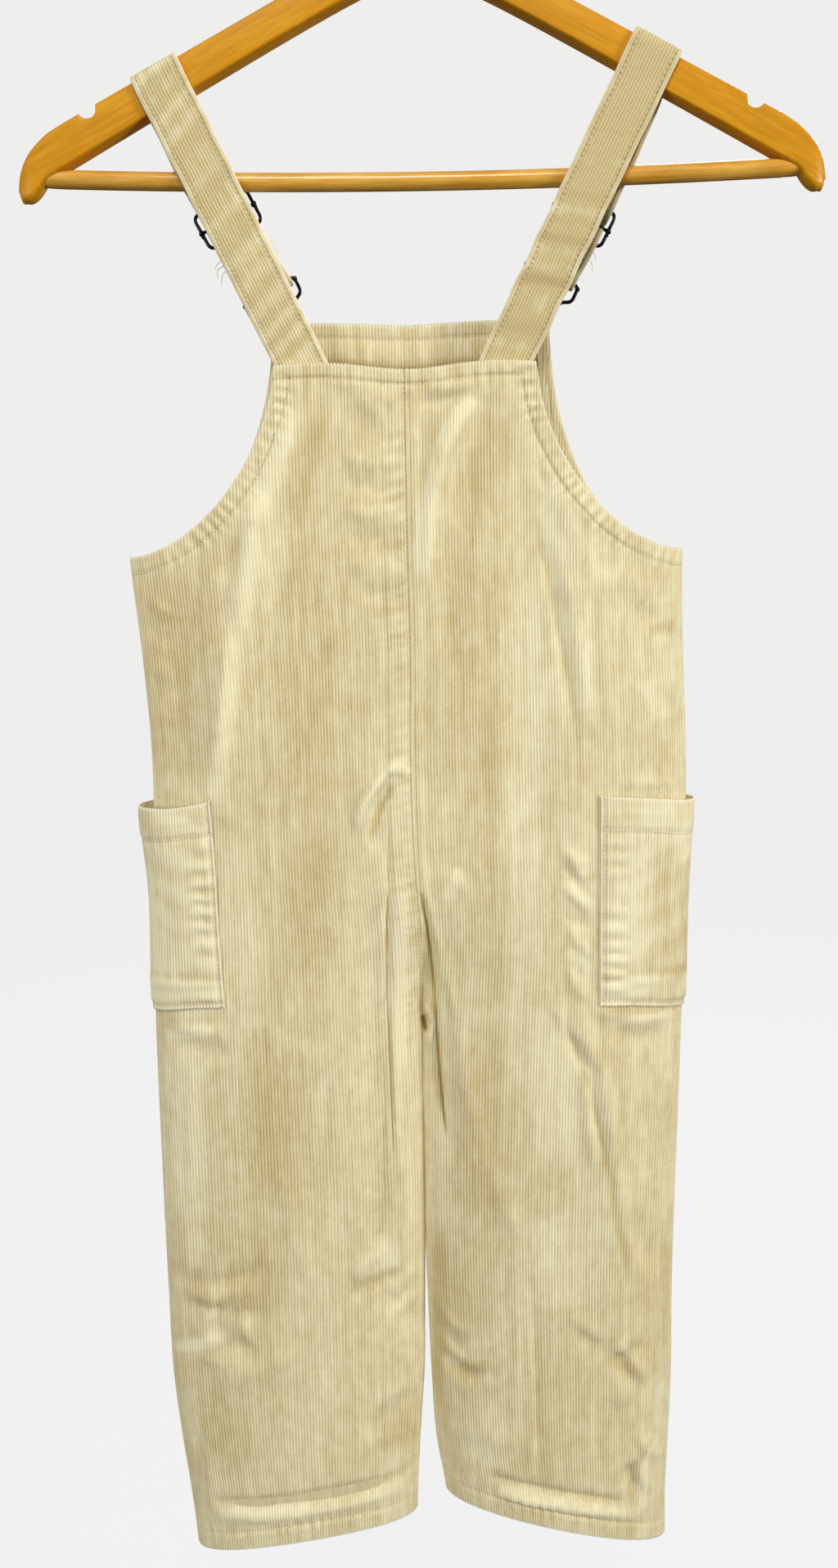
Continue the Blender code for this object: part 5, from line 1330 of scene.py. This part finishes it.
def make_pocket(side, materials):
    """A patch pocket round a side seam: the panels' points moved out, a hemmed mouth that gapes, sewn edges."""
    pocket = named(POCKET_TERMS, POCKETS[side])
    height = pocket["top_z"] - pocket["bottom_z"]
    edge_rows = np.array(POCKET_EDGE_ROWS)
    inset, count = POCKET_INNER_ROWS
    drops = np.concatenate([edge_rows, np.linspace(inset, height - inset, count), height - edge_rows[::-1]])
    fine = np.linspace(0, 2, POCKET_FINE_STEPS)
    way = way_along(pocket_face(side, fine, np.full(POCKET_FINE_STEPS, 0.5)))
    wales = int(round(way[-1] / WALE_PITCH))
    turns = np.interp(np.linspace(0, way[-1], wales * STEPS_PER_WALE + 1), way, fine)
    turn, down = np.meshgrid(turns, drops / height)
    face = pocket_face(side, turn, down)
    normal = grid_normals(face)
    normal *= -np.sign(normal[len(drops) // 2, len(turns) // 8, 1])
    beside, drop = np.meshgrid(np.interp(turns, fine, way), drops)
    edge = np.minimum(beside, way[-1] - beside)
    foot = height - drop
    seed = 3 + (side == "right")
    lift = pocket_lift(pocket, seed, drop, foot, edge, beside, way[-1])
    cloth = face + normal * (lift + POCKET_CLOTH)[..., None]
    cloth[..., 2] -= pocket["sag"] * np.sin(np.clip(edge / 40, 0, 1) * np.pi) * np.exp(-drop / 25)
    rim = np.minimum(np.minimum(drop, foot), edge)
    # Painted shade along the pocket's stitch grooves.
    stitch_shade_lines = bell(drop, POCKET_BAND, 0.8) + bell(edge, POCKET_EDGE_STITCH, 0.7) + bell(foot, POCKET_FOOT_STITCH, 0.7)
    tone = pocket_tone(POCKET_SHADES[side], seed, drop, foot, edge, beside)
    shell = cloth_shell(
        f"side_pocket_{side}", cloth, (0, -1, 0), beside / WALE_PITCH, cloth[..., 2], materials, POCKET_CLOTH, rim,
        bell(drop, 0, 1) - bell(foot, 0, 1), {"nap_and_shade": tone, "worn": rim, "seam": np.clip(stitch_shade_lines, 0, 1)},
    )
    finish_piece(shell, "corduroy", f"pocket_{side}")
    own = grid_normals(cloth)
    normals = own * np.sign(np.sum(own * normal, axis=-1, keepdims=True))
    band, low = nearest(drops, POCKET_BAND), nearest(height - drops, POCKET_FOOT_STITCH)
    rows = [stitch_row(cloth[row, 4:-4], normals[row, 4:-4]) for row in (band, low)]
    for gap, outwards in ((beside[0], 1), (way[-1] - beside[0], -1)):
        column = nearest(gap, POCKET_EDGE_STITCH)
        rows.append(stitch_row(cloth[2:-4, column], normals[2:-4, column]))
        for tack in (1, 2):
            line = cloth[1 : band - 2, column] + (0.55 * tack * outwards, 0, 0)
            lean = 0.9 * (-1) ** tack
            rows.append(stitch_row(line, normals[1 : band - 2, column], pitch=1.3, length=1.9, lean=lean))
    return rows


# ---------------------------------------------------------------- straps


def arm_top(x):
    """Height of the hanger's upper edge: two straight slopes joined by a hyperbola's round crest."""
    height, slope, rounding = ARM_TOP
    return height - slope * np.sqrt(np.asarray(x, float) ** 2 + rounding**2)


def strap_lines(side):
    """The strap's row, its crest on the arm, and the ways down its back run and its front run, in (x, z)."""
    strap = named(STRAP_COLUMNS, STRAPS[side])
    crest = np.array([strap["crest_x"], arm_top(strap["crest_x"])])
    back = np.array([strap["bib_x"], strap["bib_z"]]) - crest
    front = np.array([strap["bar_x"], strap["bar_z"]]) - crest
    return strap, crest, back, front


def strap_centre(side, run, down):
    """Points of the strap's middle in (x, z): straight down the back run, and bowed outwards down the front run."""
    _, crest, back, front = strap_lines(side)
    run, down = (np.asarray(a, float)[..., None] for a in (run, down))
    way = np.where(run > 0.5, unit(front), unit(back))
    share = np.clip(down / np.hypot(*front), 0, 1)
    return crest + way * down + run * 4 * share * (1 - share) * np.array([SIDE_SIGN[side] * FRONT_BOW, 0])


def strap_profile(side):
    """Centre line of the strap as (run, down, y): run is 0 at the back and 1 at the front, down from the crest."""
    strap, _, back, front = strap_lines(side)
    back_length, bar_down = np.hypot(*back), np.hypot(*front)
    slider = strap["slider_down"]
    wood = HANGER_THICKNESS / 2 + CONTACT_GAP + STRAP_THICKNESS / 2
    layer = STRAP_THICKNESS + LAYER_GAP
    wire = WIRE_RADIUS + WIRE_GAP + STRAP_THICKNESS / 2
    bend = ARM_EDGE_RADIUS + CONTACT_GAP + STRAP_THICKNESS / 2
    turn = np.radians([0, 22, 45, 68, 90])
    corner_down = ARM_EDGE_RADIUS - (bend + strap["crest_lift"]) * np.sin(turn)
    corner_y = HANGER_THICKNESS / 2 - ARM_EDGE_RADIUS + bend * np.cos(turn)
    points = [
        (0, back_length + STRAP_TUCK, -BIB_STRAP_Y),
        *((0, back_length - above, -BIB_STRAP_Y) for above in ABOVE_BIB),
        (0, back_length * BACK_SETTLE, -wood),
        *((0, down, -wood) for down in OFF_ARM[::-1]),
        *((0, down, -y) for down, y in zip(corner_down, corner_y)),
        *((1, down, y) for down, y in zip(corner_down[::-1], corner_y[::-1])),
        *((1, down, wood) for down in OFF_ARM),
        (1, slider - ABOVE_SLIDER, wood + SLIDER_LEAN),
    ]
    tables = ((PAST_SLIDER, slider, SLIDER_Y), (ROUND_BUCKLE, bar_down, BAR_Y), (BACK_TO_SLIDER, slider, SLIDER_Y))
    for table, start, plane in tables:
        for down, out, layers, rest in table:
            points.append((1, start + down, plane + out * wire + layers * layer + rest))
    return np.array(points, float)


def strap_sweep(side):
    """The strap's smooth centre line at even steps, its unit directions across the width and out of its face."""
    _, _, back, front = strap_lines(side)
    run, down, y = strap_profile(side).T
    centre = strap_centre(side, run, down)
    knots = np.stack([centre[:, 0], y, centre[:, 1]], axis=1)
    length = way_along(knots, 0.05)
    at = np.linspace(0, length[-1], int(length[-1] / STRAP_STEP) + 1)
    path = np.stack([smooth_steps(length, knots[:, k], at) for k in range(3)], axis=1)
    crest_at = length[int(np.argmax(run > 0.5))]
    share = soft_step((at - crest_at + 14) / 28)[:, None]
    way = unit(back) * (1 - share) + unit(front) * share
    tangent = unit(np.gradient(path, axis=0))
    across = square_to(np.stack([way[:, 1], 0 * at, -way[:, 0]], axis=1), tangent)
    return at, path, across, np.cross(across, tangent)


def make_strap(side, materials):
    """A strap: a flat section with wales on both faces, swept along its centre line. Returns its stitches."""
    at, path, across, out = strap_sweep(side)
    wales = int(STRAP_WIDTH / WALE_PITCH)
    flat = np.linspace(-1, 1, wales * STEPS_PER_WALE + 1)
    half_width, half_thick = STRAP_WIDTH / 2 - STRAP_EDGE, STRAP_THICKNESS / 2
    count = (flat + 1) / 2 * wales
    gap = (1 - np.abs(flat)) * half_width
    lift = WALE_HEIGHT * 0.5 * (wale_ridge(count) - 0.5)
    lift = lift * soft_step(gap / 1.5 + 0.2) - 0.55 * bell(gap - STRAP_STITCH, -STRAP_EDGE, 0.7)
    face = np.stack([flat * half_width, half_thick + lift], axis=1)
    arc = np.radians([62, 30, 0, -30, -62])
    edge = np.stack([half_width + STRAP_EDGE * np.cos(arc), half_thick * np.sin(arc)], axis=1)
    outline = np.concatenate([face, edge, face[::-1] * (1, -1), -edge])
    counts = np.concatenate([count, np.full(5, wales + 0.5), (1 - flat) / 2 * wales, np.full(5, 0.5)])
    seed = 1.0 + (side == "right")
    sway = 0.35 * uneven(at, 34, seed)
    ripple = 0.16 * uneven(at, 6.0, seed + 0.4)
    near_edge = bell(np.abs(outline[:, 0]) - half_width, -4, 4.0) * np.sign(outline[:, 1])
    body = path[:, None] + across[:, None] * (outline[:, :1] + sway[:, None, None])
    body = body + out[:, None] * (outline[:, 1:] + ripple[:, None, None] * near_edge[:, None])
    faces = ring_faces(*body.shape[:2])
    if np.cross(body[0, 1] - body[0, 0], body[1, 0] - body[0, 0]) @ out[0] <= 0:
        faces = [quad[::-1] for quad in faces]
    along = np.broadcast_to(at[:, None], body.shape[:2])
    rim = np.broadcast_to(np.clip(half_width + STRAP_EDGE - np.abs(outline[:, 0]), 0, 9), along.shape)
    # Painted light and shade along the strap: a darker tone for each strap, lighter and darker slanting stretches,
    # and a paler band of painted light on the rounded edges up to the stitches; painted shade along the stitch
    # grooves.
    slant = along + 0.3 * outline[:, 0]
    tone = STRAP_TONES[side] + 0.5 * uneven(slant, 31, seed) + 0.4 * uneven(slant, 12, seed + 0.6)
    tone = tone + 0.45 * soft_step((STRAP_STITCH - rim) / 2)
    uv = np.stack([np.broadcast_to(counts, along.shape), along / WALE_PITCH], axis=-1)
    piece = new_object(
        f"shoulder_strap_{side}", body.reshape(-1, 3), faces, materials, uv.reshape(-1, 2),
        {"worn": rim.ravel(), "nap_and_shade": tone.ravel(), "seam": bell(rim, STRAP_STITCH, 0.8).ravel()}, smooth_angle=70,
    )
    finish_piece(piece, "corduroy", f"strap_{side}")
    rows = []
    for sign in (-1, 1):
        for face_sign in (-1, 1):
            line = path + across * ((half_width + STRAP_EDGE - STRAP_STITCH) * sign + sway[:, None])
            line = line + out * (half_thick - 0.35) * face_sign
            rows.append(stitch_row(line, out * face_sign))
    return rows


def strap_place(side, beside, down, y):
    """A point of the strap's front run: beside its centre line, down from the crest, and at depth y."""
    front = unit(strap_lines(side)[3])
    beside, down, y = np.broadcast_arrays(*(np.asarray(a, float) for a in (beside, down, y)))
    centre = strap_centre(side, 1.0, down) + np.array([-front[1], front[0]]) * beside[..., None]
    return np.stack([centre[..., 0], y, centre[..., 1]], axis=-1)


# ---------------------------------------------------------------- wires and buttons


def rounded_loop(half_outline, radius, steps=8):
    """A closed loop with round corners, from its right half's (beside, down) corners and their mirror images."""
    right = np.array(half_outline, float)
    corners = np.concatenate([right, right[::-1] * (-1, 1)])
    t = np.linspace(0, 1, steps + 1)[:, None]
    points = []
    for before, corner, after in zip(np.roll(corners, 1, axis=0), corners, np.roll(corners, -1, axis=0)):
        ways = (1 - t) ** 2 * unit(before - corner) + t**2 * unit(after - corner)
        points.append(corner + radius * ways)
    return np.concatenate(points)


def make_slider(side, material):
    """A wire slider: a round-cornered loop, a bar across it, and the bar's ends curled round the loop as beads."""
    half_width, half_height = STRAP_WIDTH / 2 + SLIDER_OVERHANG, SLIDER_HEIGHT / 2
    middle = strap_lines(side)[0]["slider_down"]
    loop = rounded_loop([(half_width, middle - half_height), (half_width, middle + half_height)], SLIDER_CORNER)
    bar = strap_place(side, np.linspace(-half_width, half_width, 9), middle, SLIDER_Y)
    parts = [tube(strap_place(side, *loop.T, SLIDER_Y), WIRE_RADIUS, closed=True), tube(bar, WIRE_RADIUS * 0.92)]
    for sign in (-1, 1):
        parts.append(ball(strap_place(side, sign * half_width, middle, SLIDER_Y), SLIDER_CURL))
        parts.append(ball(strap_place(side, sign * (half_width + 0.2), middle + 1.9, SLIDER_Y), SLIDER_CURL_END))
    wire_piece(f"wire_slider_{side}", parts, material, "gunmetal", f"slider_{side}")


def button_place(side):
    """Centre of the button's back, on the front bib's outer face below the buckle's bar."""
    front = strap_lines(side)[3]
    down = np.hypot(*front) + BUCKLE_HEIGHT - BUCKLE_NECK / 2 - BUTTON_STEM_RADIUS - WIRE_RADIUS
    x, _, z = strap_place(side, 0, down, 0)
    return cloth_point(side, "front", share_across(side, x, z), z, sewn=False)


def make_buckle(side, material):
    """A wire buckle: a bar in the strap's loop, shoulders, a waist, and sides that close to the button's loop."""
    bar_down = np.hypot(*strap_lines(side)[3])
    half_width = STRAP_WIDTH / 2 + BUCKLE_OVERHANG
    shoulder = bar_down + BUCKLE_SHOULDER
    outline = [
        (half_width, bar_down), (half_width, shoulder), (BUCKLE_WAIST / 2, shoulder + BUCKLE_WAIST_DROP),
        (BUCKLE_NECK / 2, bar_down + BUCKLE_HEIGHT),
    ]
    beside, down = rounded_loop(outline, BUCKLE_CORNER).T
    stem_y = button_place(side)[1] + LAYER_GAP + WIRE_RADIUS + 0.5
    y = BAR_Y + (stem_y - BAR_Y) * np.clip((down - bar_down) / BUCKLE_HEIGHT * 1.6, 0, 1)
    parts = [tube(strap_place(side, beside, down, y), WIRE_RADIUS, closed=True)]
    for sign in (-1, 1):
        parts.append(ball(strap_place(side, sign * half_width, bar_down + 1.4, BAR_Y), BUCKLE_BEAD_RADIUS))
    wire_piece(f"wire_buckle_{side}", parts, material, "gunmetal", f"buckle_{side}")


def make_button(side, material, sides=40):
    """A turned button: its profile of radius and depth carried round the stem, with a rolled rim and a dish."""
    x, y, z = button_place(side)
    start = y + LAYER_GAP
    cap = start + 2 * WIRE_RADIUS + 1.4
    stem, edge, thick = BUTTON_STEM_RADIUS, BUTTON_RADIUS, BUTTON_THICKNESS
    outline = [
        (stem + 0.8, start), (stem, start + 0.8), (stem, cap - 0.3), (stem + 0.5, cap), (edge - 1.2, cap + 0.1),
        (edge - 0.35, cap + thick * 0.18), (edge, cap + thick * 0.42), (edge - 0.25, cap + thick * 0.72),
        (edge - 0.9, cap + thick * 0.94), (edge - 1.6, cap + thick), (edge - 2.4, cap + thick * 0.9),
        (edge - 3.0, cap + thick * 0.72), (edge - 3.3, cap + thick * 0.66), (2.2, cap + thick * 0.60),
        (1.4, cap + thick * 0.72), (0.6, cap + thick * 0.78),
    ]
    turn = 2 * np.pi * np.arange(sides) / sides
    radius, depth = (values[:, None] for values in np.array(outline).T)
    rings = np.stack([x + radius * np.cos(turn), depth + 0 * turn, z + radius * np.sin(turn)], axis=-1)
    faces = [face[::-1] for face in ring_faces(len(outline), sides)]
    piece = new_object(f"button_cap_{side}", rings.reshape(-1, 3), faces, [material], smooth_angle=55)
    finish_piece(piece, "gunmetal", f"button_{side}")


# ---------------------------------------------------------------- hanger


def arm_heights(x):
    """Top and underside of the board at places along an arm: slopes, the notch's half circle, the rounded tip."""
    x = np.abs(x)
    height, slope, rounding = ARM_UNDERSIDE
    under = height - slope * np.sqrt(x**2 + rounding**2)
    inside = np.clip(NOTCH_RADIUS**2 - (x - NOTCH_X) ** 2, 0, None)
    notch = np.minimum(arm_top(x), arm_top(NOTCH_X) - np.sqrt(inside) * NOTCH_SQUASH)
    top = np.where(inside > 0, notch, arm_top(x))
    curve = bent((TIP_START_X, arm_top(TIP_START_X)), TIP_TOP, TIP_END, np.linspace(0, 1, 60)[:, None])
    top = np.where(x > TIP_START_X, np.minimum(top, np.interp(x, *curve.T)), top)
    tip = np.array([*TIP_UNDER, TIP_END])
    under = np.where(x > tip[0, 0], smooth_steps(tip[:, 0], tip[:, 1], x), under)
    return top, np.minimum(under, top - 0.02)


def make_board(material):
    """The hanger's board: a rounded rectangle between the arm's top and underside, carried from tip to tip."""
    start, end, count = TIP_RINGS
    tip = start + (end - start) * np.sin(np.linspace(0, 1, count) * np.pi / 2)
    fine = np.concatenate([np.linspace(*ARM_RINGS), np.linspace(*NOTCH_RINGS), tip])
    x = np.unique(np.round(np.concatenate([-fine, fine]), 4))
    top, under = arm_heights(x)
    rounded = soft_step((np.abs(x) - TIP_ROUNDS[0]) / TIP_ROUNDS[1])
    radius = ARM_EDGE_RADIUS + (TIP_EDGE_RADIUS - ARM_EDGE_RADIUS) * rounded
    radius = np.minimum(radius, (top - under) / 2)
    narrow_from, narrow_over, power = TIP_NARROWS
    narrow = 1 - (np.clip(np.abs(x) - narrow_from, 0, TIP_END[0] - narrow_from) / narrow_over) ** power
    side_y = HANGER_THICKNESS / 2 * np.sqrt(np.clip(narrow, 0.02, 1))
    flat_y, round_y = np.maximum(side_y - radius, 0)[:, None], np.minimum(radius, side_y)[:, None]
    arc = np.radians(np.linspace(0, 90, 6))
    rings = []
    for sign_y, sign_z, angle in ((-1, 1, arc), (1, 1, arc[::-1]), (1, -1, arc), (-1, -1, arc[::-1])):
        corner_y = sign_y * (flat_y + round_y * np.cos(angle))
        corner_z = np.where(sign_z > 0, top - radius, under + radius)[:, None]
        corner_z = corner_z + sign_z * radius[:, None] * np.sin(angle)
        rings.append(np.stack([np.broadcast_to(x[:, None], corner_y.shape), corner_y, corner_z], axis=-1))
    body = np.concatenate(rings, axis=1)
    slope = ARM_TOP[1] / np.hypot(1, ARM_TOP[1])
    level = np.sqrt(1 - slope**2)
    along = np.abs(body[..., 0]) * level - body[..., 2] * slope
    beside = np.abs(body[..., 0]) * slope + body[..., 2] * level + body[..., 1] * 0.8
    uv = np.stack([along * np.sign(body[..., 0] + 0.01), beside], axis=-1) * MM
    faces = ring_faces(*body.shape[:2])
    board = new_object("hanger_board", body.reshape(-1, 3), faces, [material], uv.reshape(-1, 2), smooth_angle=42)
    outward_faces(board)
    finish_piece(board, "varnished_wood", "hanger_body")


def make_bar(material, sides=28):
    """The trouser bar: a dowel that sags a little in its middle, drawn along its parabola."""
    x = np.linspace(-BAR_END_X, BAR_END_X, 90)
    z = BAR_END_Z - BAR_SAG * (1 - (x / BAR_END_X) ** 2)
    radius = BAR_RADIUS * (1 - 0.06 * soft_step((np.abs(x) - 196) / 10))
    points, faces = tube(np.stack([x, 0 * x, z], axis=1), radius, sides=sides)
    turn = np.tile(np.arange(sides) / sides * 0.030, len(x))
    uv = np.stack([points[:, 0] * MM + 0.7, turn], axis=-1)
    bar = new_object("trouser_bar", points, faces, [material], uv, smooth_angle=60)
    outward_faces(bar)
    finish_piece(bar, "varnished_wood", "hanger_bar")


def make_hook(material):
    """Wire hook: a shank up from the crest, a bend out to one side, and a round crook with a rounded end."""
    radius, centre_z = HOOK_INNER_RADIUS + HOOK_WIRE_RADIUS, -HOOK_INNER_RADIUS
    shank = [(0, float(arm_top(0)) - HOOK_SHANK_DEPTH)]
    shank += [(0, centre_z - radius - below) for below in HOOK_STRAIGHT]
    angles = np.radians(np.linspace(*HOOK_TURN, 90))
    crook = np.stack([radius * np.cos(angles), centre_z + radius * np.sin(angles)], axis=1)
    neck = bent(shank[-1], (0.6, centre_z - radius - 1.5), crook[0], np.linspace(0.1, 0.93, 18)[:, None])
    x, z = np.concatenate([shank, neck, crook]).T
    path = np.stack([x, 0 * x, z], axis=1)
    parts = [tube(path, HOOK_WIRE_RADIUS, sides=18), ball(path[-1], HOOK_END_RADIUS, 10, 16)]
    outward_faces(wire_piece("wire_hook", parts, material, "hook_steel", "hanger_hook"))


# ---------------------------------------------------------------- sewing on the panels


def offset_line(line, distance, side):
    """A line moved square to itself into the panel, towards the centre and down."""
    tangent = unit(np.gradient(line, axis=0))
    return line + np.stack([-tangent[:, 1], tangent[:, 0]], axis=1) * -SIDE_SIGN[side] * distance


def panel_sewing(side, layer):
    """Rows of topstitching on one panel: bib, armhole, hem, and the centre seam on the left panels."""
    (bib_line, _), (arm_line, _) = EDGES[side, layer]
    bib = bib_line[::3] - (0, BIB_BAND)
    keep = edge_gaps(side, layer, *bib.T)[1][0] > ARMHOLE_BAND - 0.4
    arm = offset_line(arm_line[::4], ARMHOLE_BAND, side)
    (bib_gap, _), (arm_gap, _) = edge_gaps(side, layer, *arm.T)
    clear = (arm_gap > ARMHOLE_BAND - 0.35) & (bib_gap > BIB_BAND - 0.2)
    clear &= np.abs(arm[:, 0] - section(side + "_side", arm[:, 1])) > 1.5
    across = np.linspace(0.02, 0.985, 220)
    z = hem_edge(side, across) + HEM_BAND
    inner, outer = edges_at(side, z)
    lines = [bib[keep].T, arm[clear].T, (inner + (outer - inner) * across, z)]
    if side == "left":
        z = np.linspace(top_edge(side, layer, 0.02) - 1.5, CROTCH_Z + 26, 500)
        lines.append((section("left_inner", z) - CENTRE_STITCH, z))
    return [stitch_row(*on_cloth(side, layer, *line)) for line in lines]


# Loose ends of thread: where each starts, where it ends, how far its middle bows, all in millimetres.
LOOSE_THREADS = (
    ((-131.5, -22.5, -530), (-136.5, -25.5, -525), (0, 0, 2.5)),
    ((-131.5, -22.5, -530), (-134, -26.0, -522), (1.0, 0, 1.0)),
    ((-131, -22.5, -531), (-128.5, -24.5, -526), (1.5, 0, 1.0)),
    ((-133, -22.0, -543), (-137, -24.0, -541), (0, 0, 1.5)),
    ((-133, -22.0, -544), (-137.5, -24.0, -546), (0, 0, -1.0)),
    ((131.5, -25.5, -528), (134.5, -27.5, -524), (3.0, 0, 3.0)),
    ((-112.3, 9.5, -228), (-116.3, 8.0, -233), (-1.5, 0, 0)),
    ((-111.3, 9.5, -231), (-115.3, 7.0, -238), (-2.0, 0, 1)),
    ((-109.8, 9.5, -234), (-113.8, 9.0, -241), (-1.0, 0, 2)),
    ((-87.7, 9.0, -218), (-82.7, 8.0, -223), (1.5, 0, 1)),
    ((-86.7, 9.0, -222), (-81.7, 7.0, -226), (1.0, 0, 2)),
    ((-84.7, 9.0, -227), (-80.2, 8.0, -233), (1.5, 0, 1)),
    ((92, 9.5, -226), (96.5, 8.5, -232), (1.5, 0, 1)),
    ((91, 9.5, -229), (94.5, 8.0, -237), (1.5, 0, 0)),
)


def make_loose_threads(material):
    """Short thread ends: thin tubes along a parabola between two places."""
    parts = []
    for start, end, bow in LOOSE_THREADS:
        t = np.linspace(0, 1, 9)[:, None]
        path = np.array(start) * (1 - t) + np.array(end) * t + 4 * t * (1 - t) * np.array(bow)
        parts.append(tube(path, LOOSE_THREAD_RADIUS, sides=5))
    wire_piece("loose_threads", parts, material, "corduroy", smooth_angle=None)


def make_garment():
    """All cloth pieces with their sewing."""
    back = reverse_cloth()
    thread = thread_finish()
    sewing = {}
    for layer in LAYER_SIGN:
        for side in SIDE_SIGN:
            seed = 1.0 + 2.3 * (side == "right") + 5.1 * (layer == "front")
            make_panel(side, layer, [corduroy(f"corduroy_{layer}_{side}", 0.0, seed, 0.45), back])
            sewing.setdefault(f"topstitching_{layer}", []).extend(panel_sewing(side, layer))
    sewing["topstitching_front"].append(make_facing([corduroy("corduroy_facing", 0.02, 9.0), back]))
    for side, sign in SIDE_SIGN.items():
        rows = make_pocket(side, [corduroy(f"corduroy_pocket_{side}", 0.10, 11.0 + sign, 0.8), back])
        sewing.setdefault("topstitching_pockets", []).extend(rows)
        rows = make_strap(side, [corduroy(f"corduroy_strap_{side}", -0.12, 15.0 + sign, 0.5, True, 0.04)])
        sewing.setdefault("topstitching_straps", []).extend(rows)
    for name, rows in sewing.items():
        outward_faces(wire_piece(name, rows, thread, "corduroy", smooth_angle=None))
    make_loose_threads(thread)


def make_hardware():
    """Sliders, buckles and buttons."""
    wire = metal_finish("gunmetal_wire", (0.035, 0.036, 0.042, 1), 0.16, 0.18)
    cap = metal_finish("gunmetal_button", (0.05, 0.05, 0.056, 1), 0.24, 0.2)
    for side in SIDE_SIGN:
        make_slider(side, wire)
        make_buckle(side, wire)
        make_button(side, cap)


def make_hanger():
    """The wooden board, its bar and its wire hook."""
    dark, middle, pale = linear(168, 100, 4), linear(208, 138, 8), linear(228, 164, 28)
    make_board(varnished_wood("varnished_board", dark, middle, pale))
    dark, middle, pale = linear(158, 90, 4), linear(216, 150, 32), linear(244, 194, 88)
    make_bar(varnished_wood("varnished_dowel", dark, middle, pale, 0.7))
    make_hook(metal_finish("steel_wire", (0.60, 0.60, 0.59, 1), 0.18, 0.15))


# ---------------------------------------------------------------- floor, light and camera

FLOOR_Z = -1.5
FLOOR_REACH = 9.0
CAMERA_PLACE = (-0.00955, -0.68026, -0.38526)
CAMERA_PITCH = 0.20699
CAMERA_YAW = 0.00283
CAMERA_ROLL = 0.01727
FOCAL_PIXELS = 1400.0
IMAGE_HEIGHT = 1916
SENSOR = 36.0
BACKDROP_STRENGTH = 0.86
WORLD_STRENGTH = 0.27
LAMP_AIM = (0, 0, -0.6)
# Each lamp's name, place, size, power and tint, in metres and watts.
LAMPS = (
    ("key", (3.0, -1.5, -0.1), 0.9, 65, (1.0, 0.985, 0.95)),
    ("top", (-0.1, -1.9, 1.7), 0.9, 37, (1.0, 0.985, 0.96)),
    ("left", (-2.2, -2.4, -0.4), 1.2, 30, (1.0, 0.99, 0.97)),
    ("front", (0.9, 1.8, 0.5), 1.0, 32, (1, 1, 1)),
)


def seen_by_camera(tree):
    """1 for what the camera sees directly, and 0 for light on its way elsewhere."""
    return node(tree, "ShaderNodeLightPath").outputs["Is Camera Ray"]


def make_floor():
    """A plain pale floor far below the hem."""
    material, tree = new_material("pale_floor")
    shaded(material, {
        "Base Color": (0.05, 0.05, 0.05, 1),
        "Roughness": 1.0,
        "Emission Color": (1, 1, 1, 1),
        "Emission Strength": times(tree, seen_by_camera(tree), 0.82),
    })
    corners = [(x, y, FLOOR_Z / FLOOR_REACH) for x, y in ((-1, -1), (1, -1), (1, 1), (-1, 1))]
    floor = new_object("floor", np.array(corners) * FLOOR_REACH / MM, [[0, 1, 2, 3]], [material])


def make_world():
    """Soft light from all round, nearly white: one strength for the backdrop and a lower one for what it lights."""
    world = bpy.data.worlds.new("studio")
    world.use_nodes = True
    tree = world.node_tree
    extra = times(tree, seen_by_camera(tree), BACKDROP_STRENGTH - WORLD_STRENGTH)
    strength = add(tree, extra, WORLD_STRENGTH)
    fill(tree, tree.nodes["Background"], {"Color": (1.0, 0.995, 0.985, 1), "Strength": strength})
    bpy.context.scene.world = world


def put(name, data, right, up, back, place):
    """An object of a lamp or a camera, which looks against its back direction."""
    obj = bpy.data.objects.new(name, data)
    bpy.context.scene.collection.objects.link(obj)
    obj.matrix_world = Matrix([[right[k], up[k], back[k], place[k]] for k in range(3)] + [[0, 0, 0, 1]])
    return obj


def make_lamp(name, place, size, power, tint):
    """A square soft lamp at a place, turned to the garment's middle."""
    lamp = bpy.data.lights.new(name, "AREA")
    lamp.size = size
    lamp.energy = power
    lamp.color = tint
    back = unit(np.array(place, float) - np.array(LAMP_AIM, float))
    right = unit(np.cross((0, 0, 1), back))
    put(name, lamp, right, np.cross(back, right), back, place)


def make_camera():
    """The camera: a level direction pitched down, then rolled about its own line of sight."""
    sin_pitch, cos_pitch = np.sin(CAMERA_PITCH), np.cos(CAMERA_PITCH)
    ahead = np.array([np.sin(CAMERA_YAW) * cos_pitch, np.cos(CAMERA_YAW) * cos_pitch, -sin_pitch])
    right = np.array([np.cos(CAMERA_YAW), -np.sin(CAMERA_YAW), 0])
    up = np.cross(right, ahead)
    rolled_right = right * np.cos(CAMERA_ROLL) - up * np.sin(CAMERA_ROLL)
    rolled_up = right * np.sin(CAMERA_ROLL) + up * np.cos(CAMERA_ROLL)
    camera = bpy.data.cameras.new("camera")
    camera.sensor_width = SENSOR
    camera.lens = FOCAL_PIXELS / IMAGE_HEIGHT * SENSOR
    camera.clip_start = 0.01
    bpy.context.scene.camera = put("camera", camera, rolled_right, rolled_up, -ahead, CAMERA_PLACE)


def make_studio():
    """Floor, light and camera."""
    make_floor()
    make_world()
    for lamp in LAMPS:
        make_lamp(*lamp)
    bpy.context.scene.view_settings.view_transform = "Standard"
    make_camera()


make_garment()
make_hardware()
make_hanger()
make_studio()
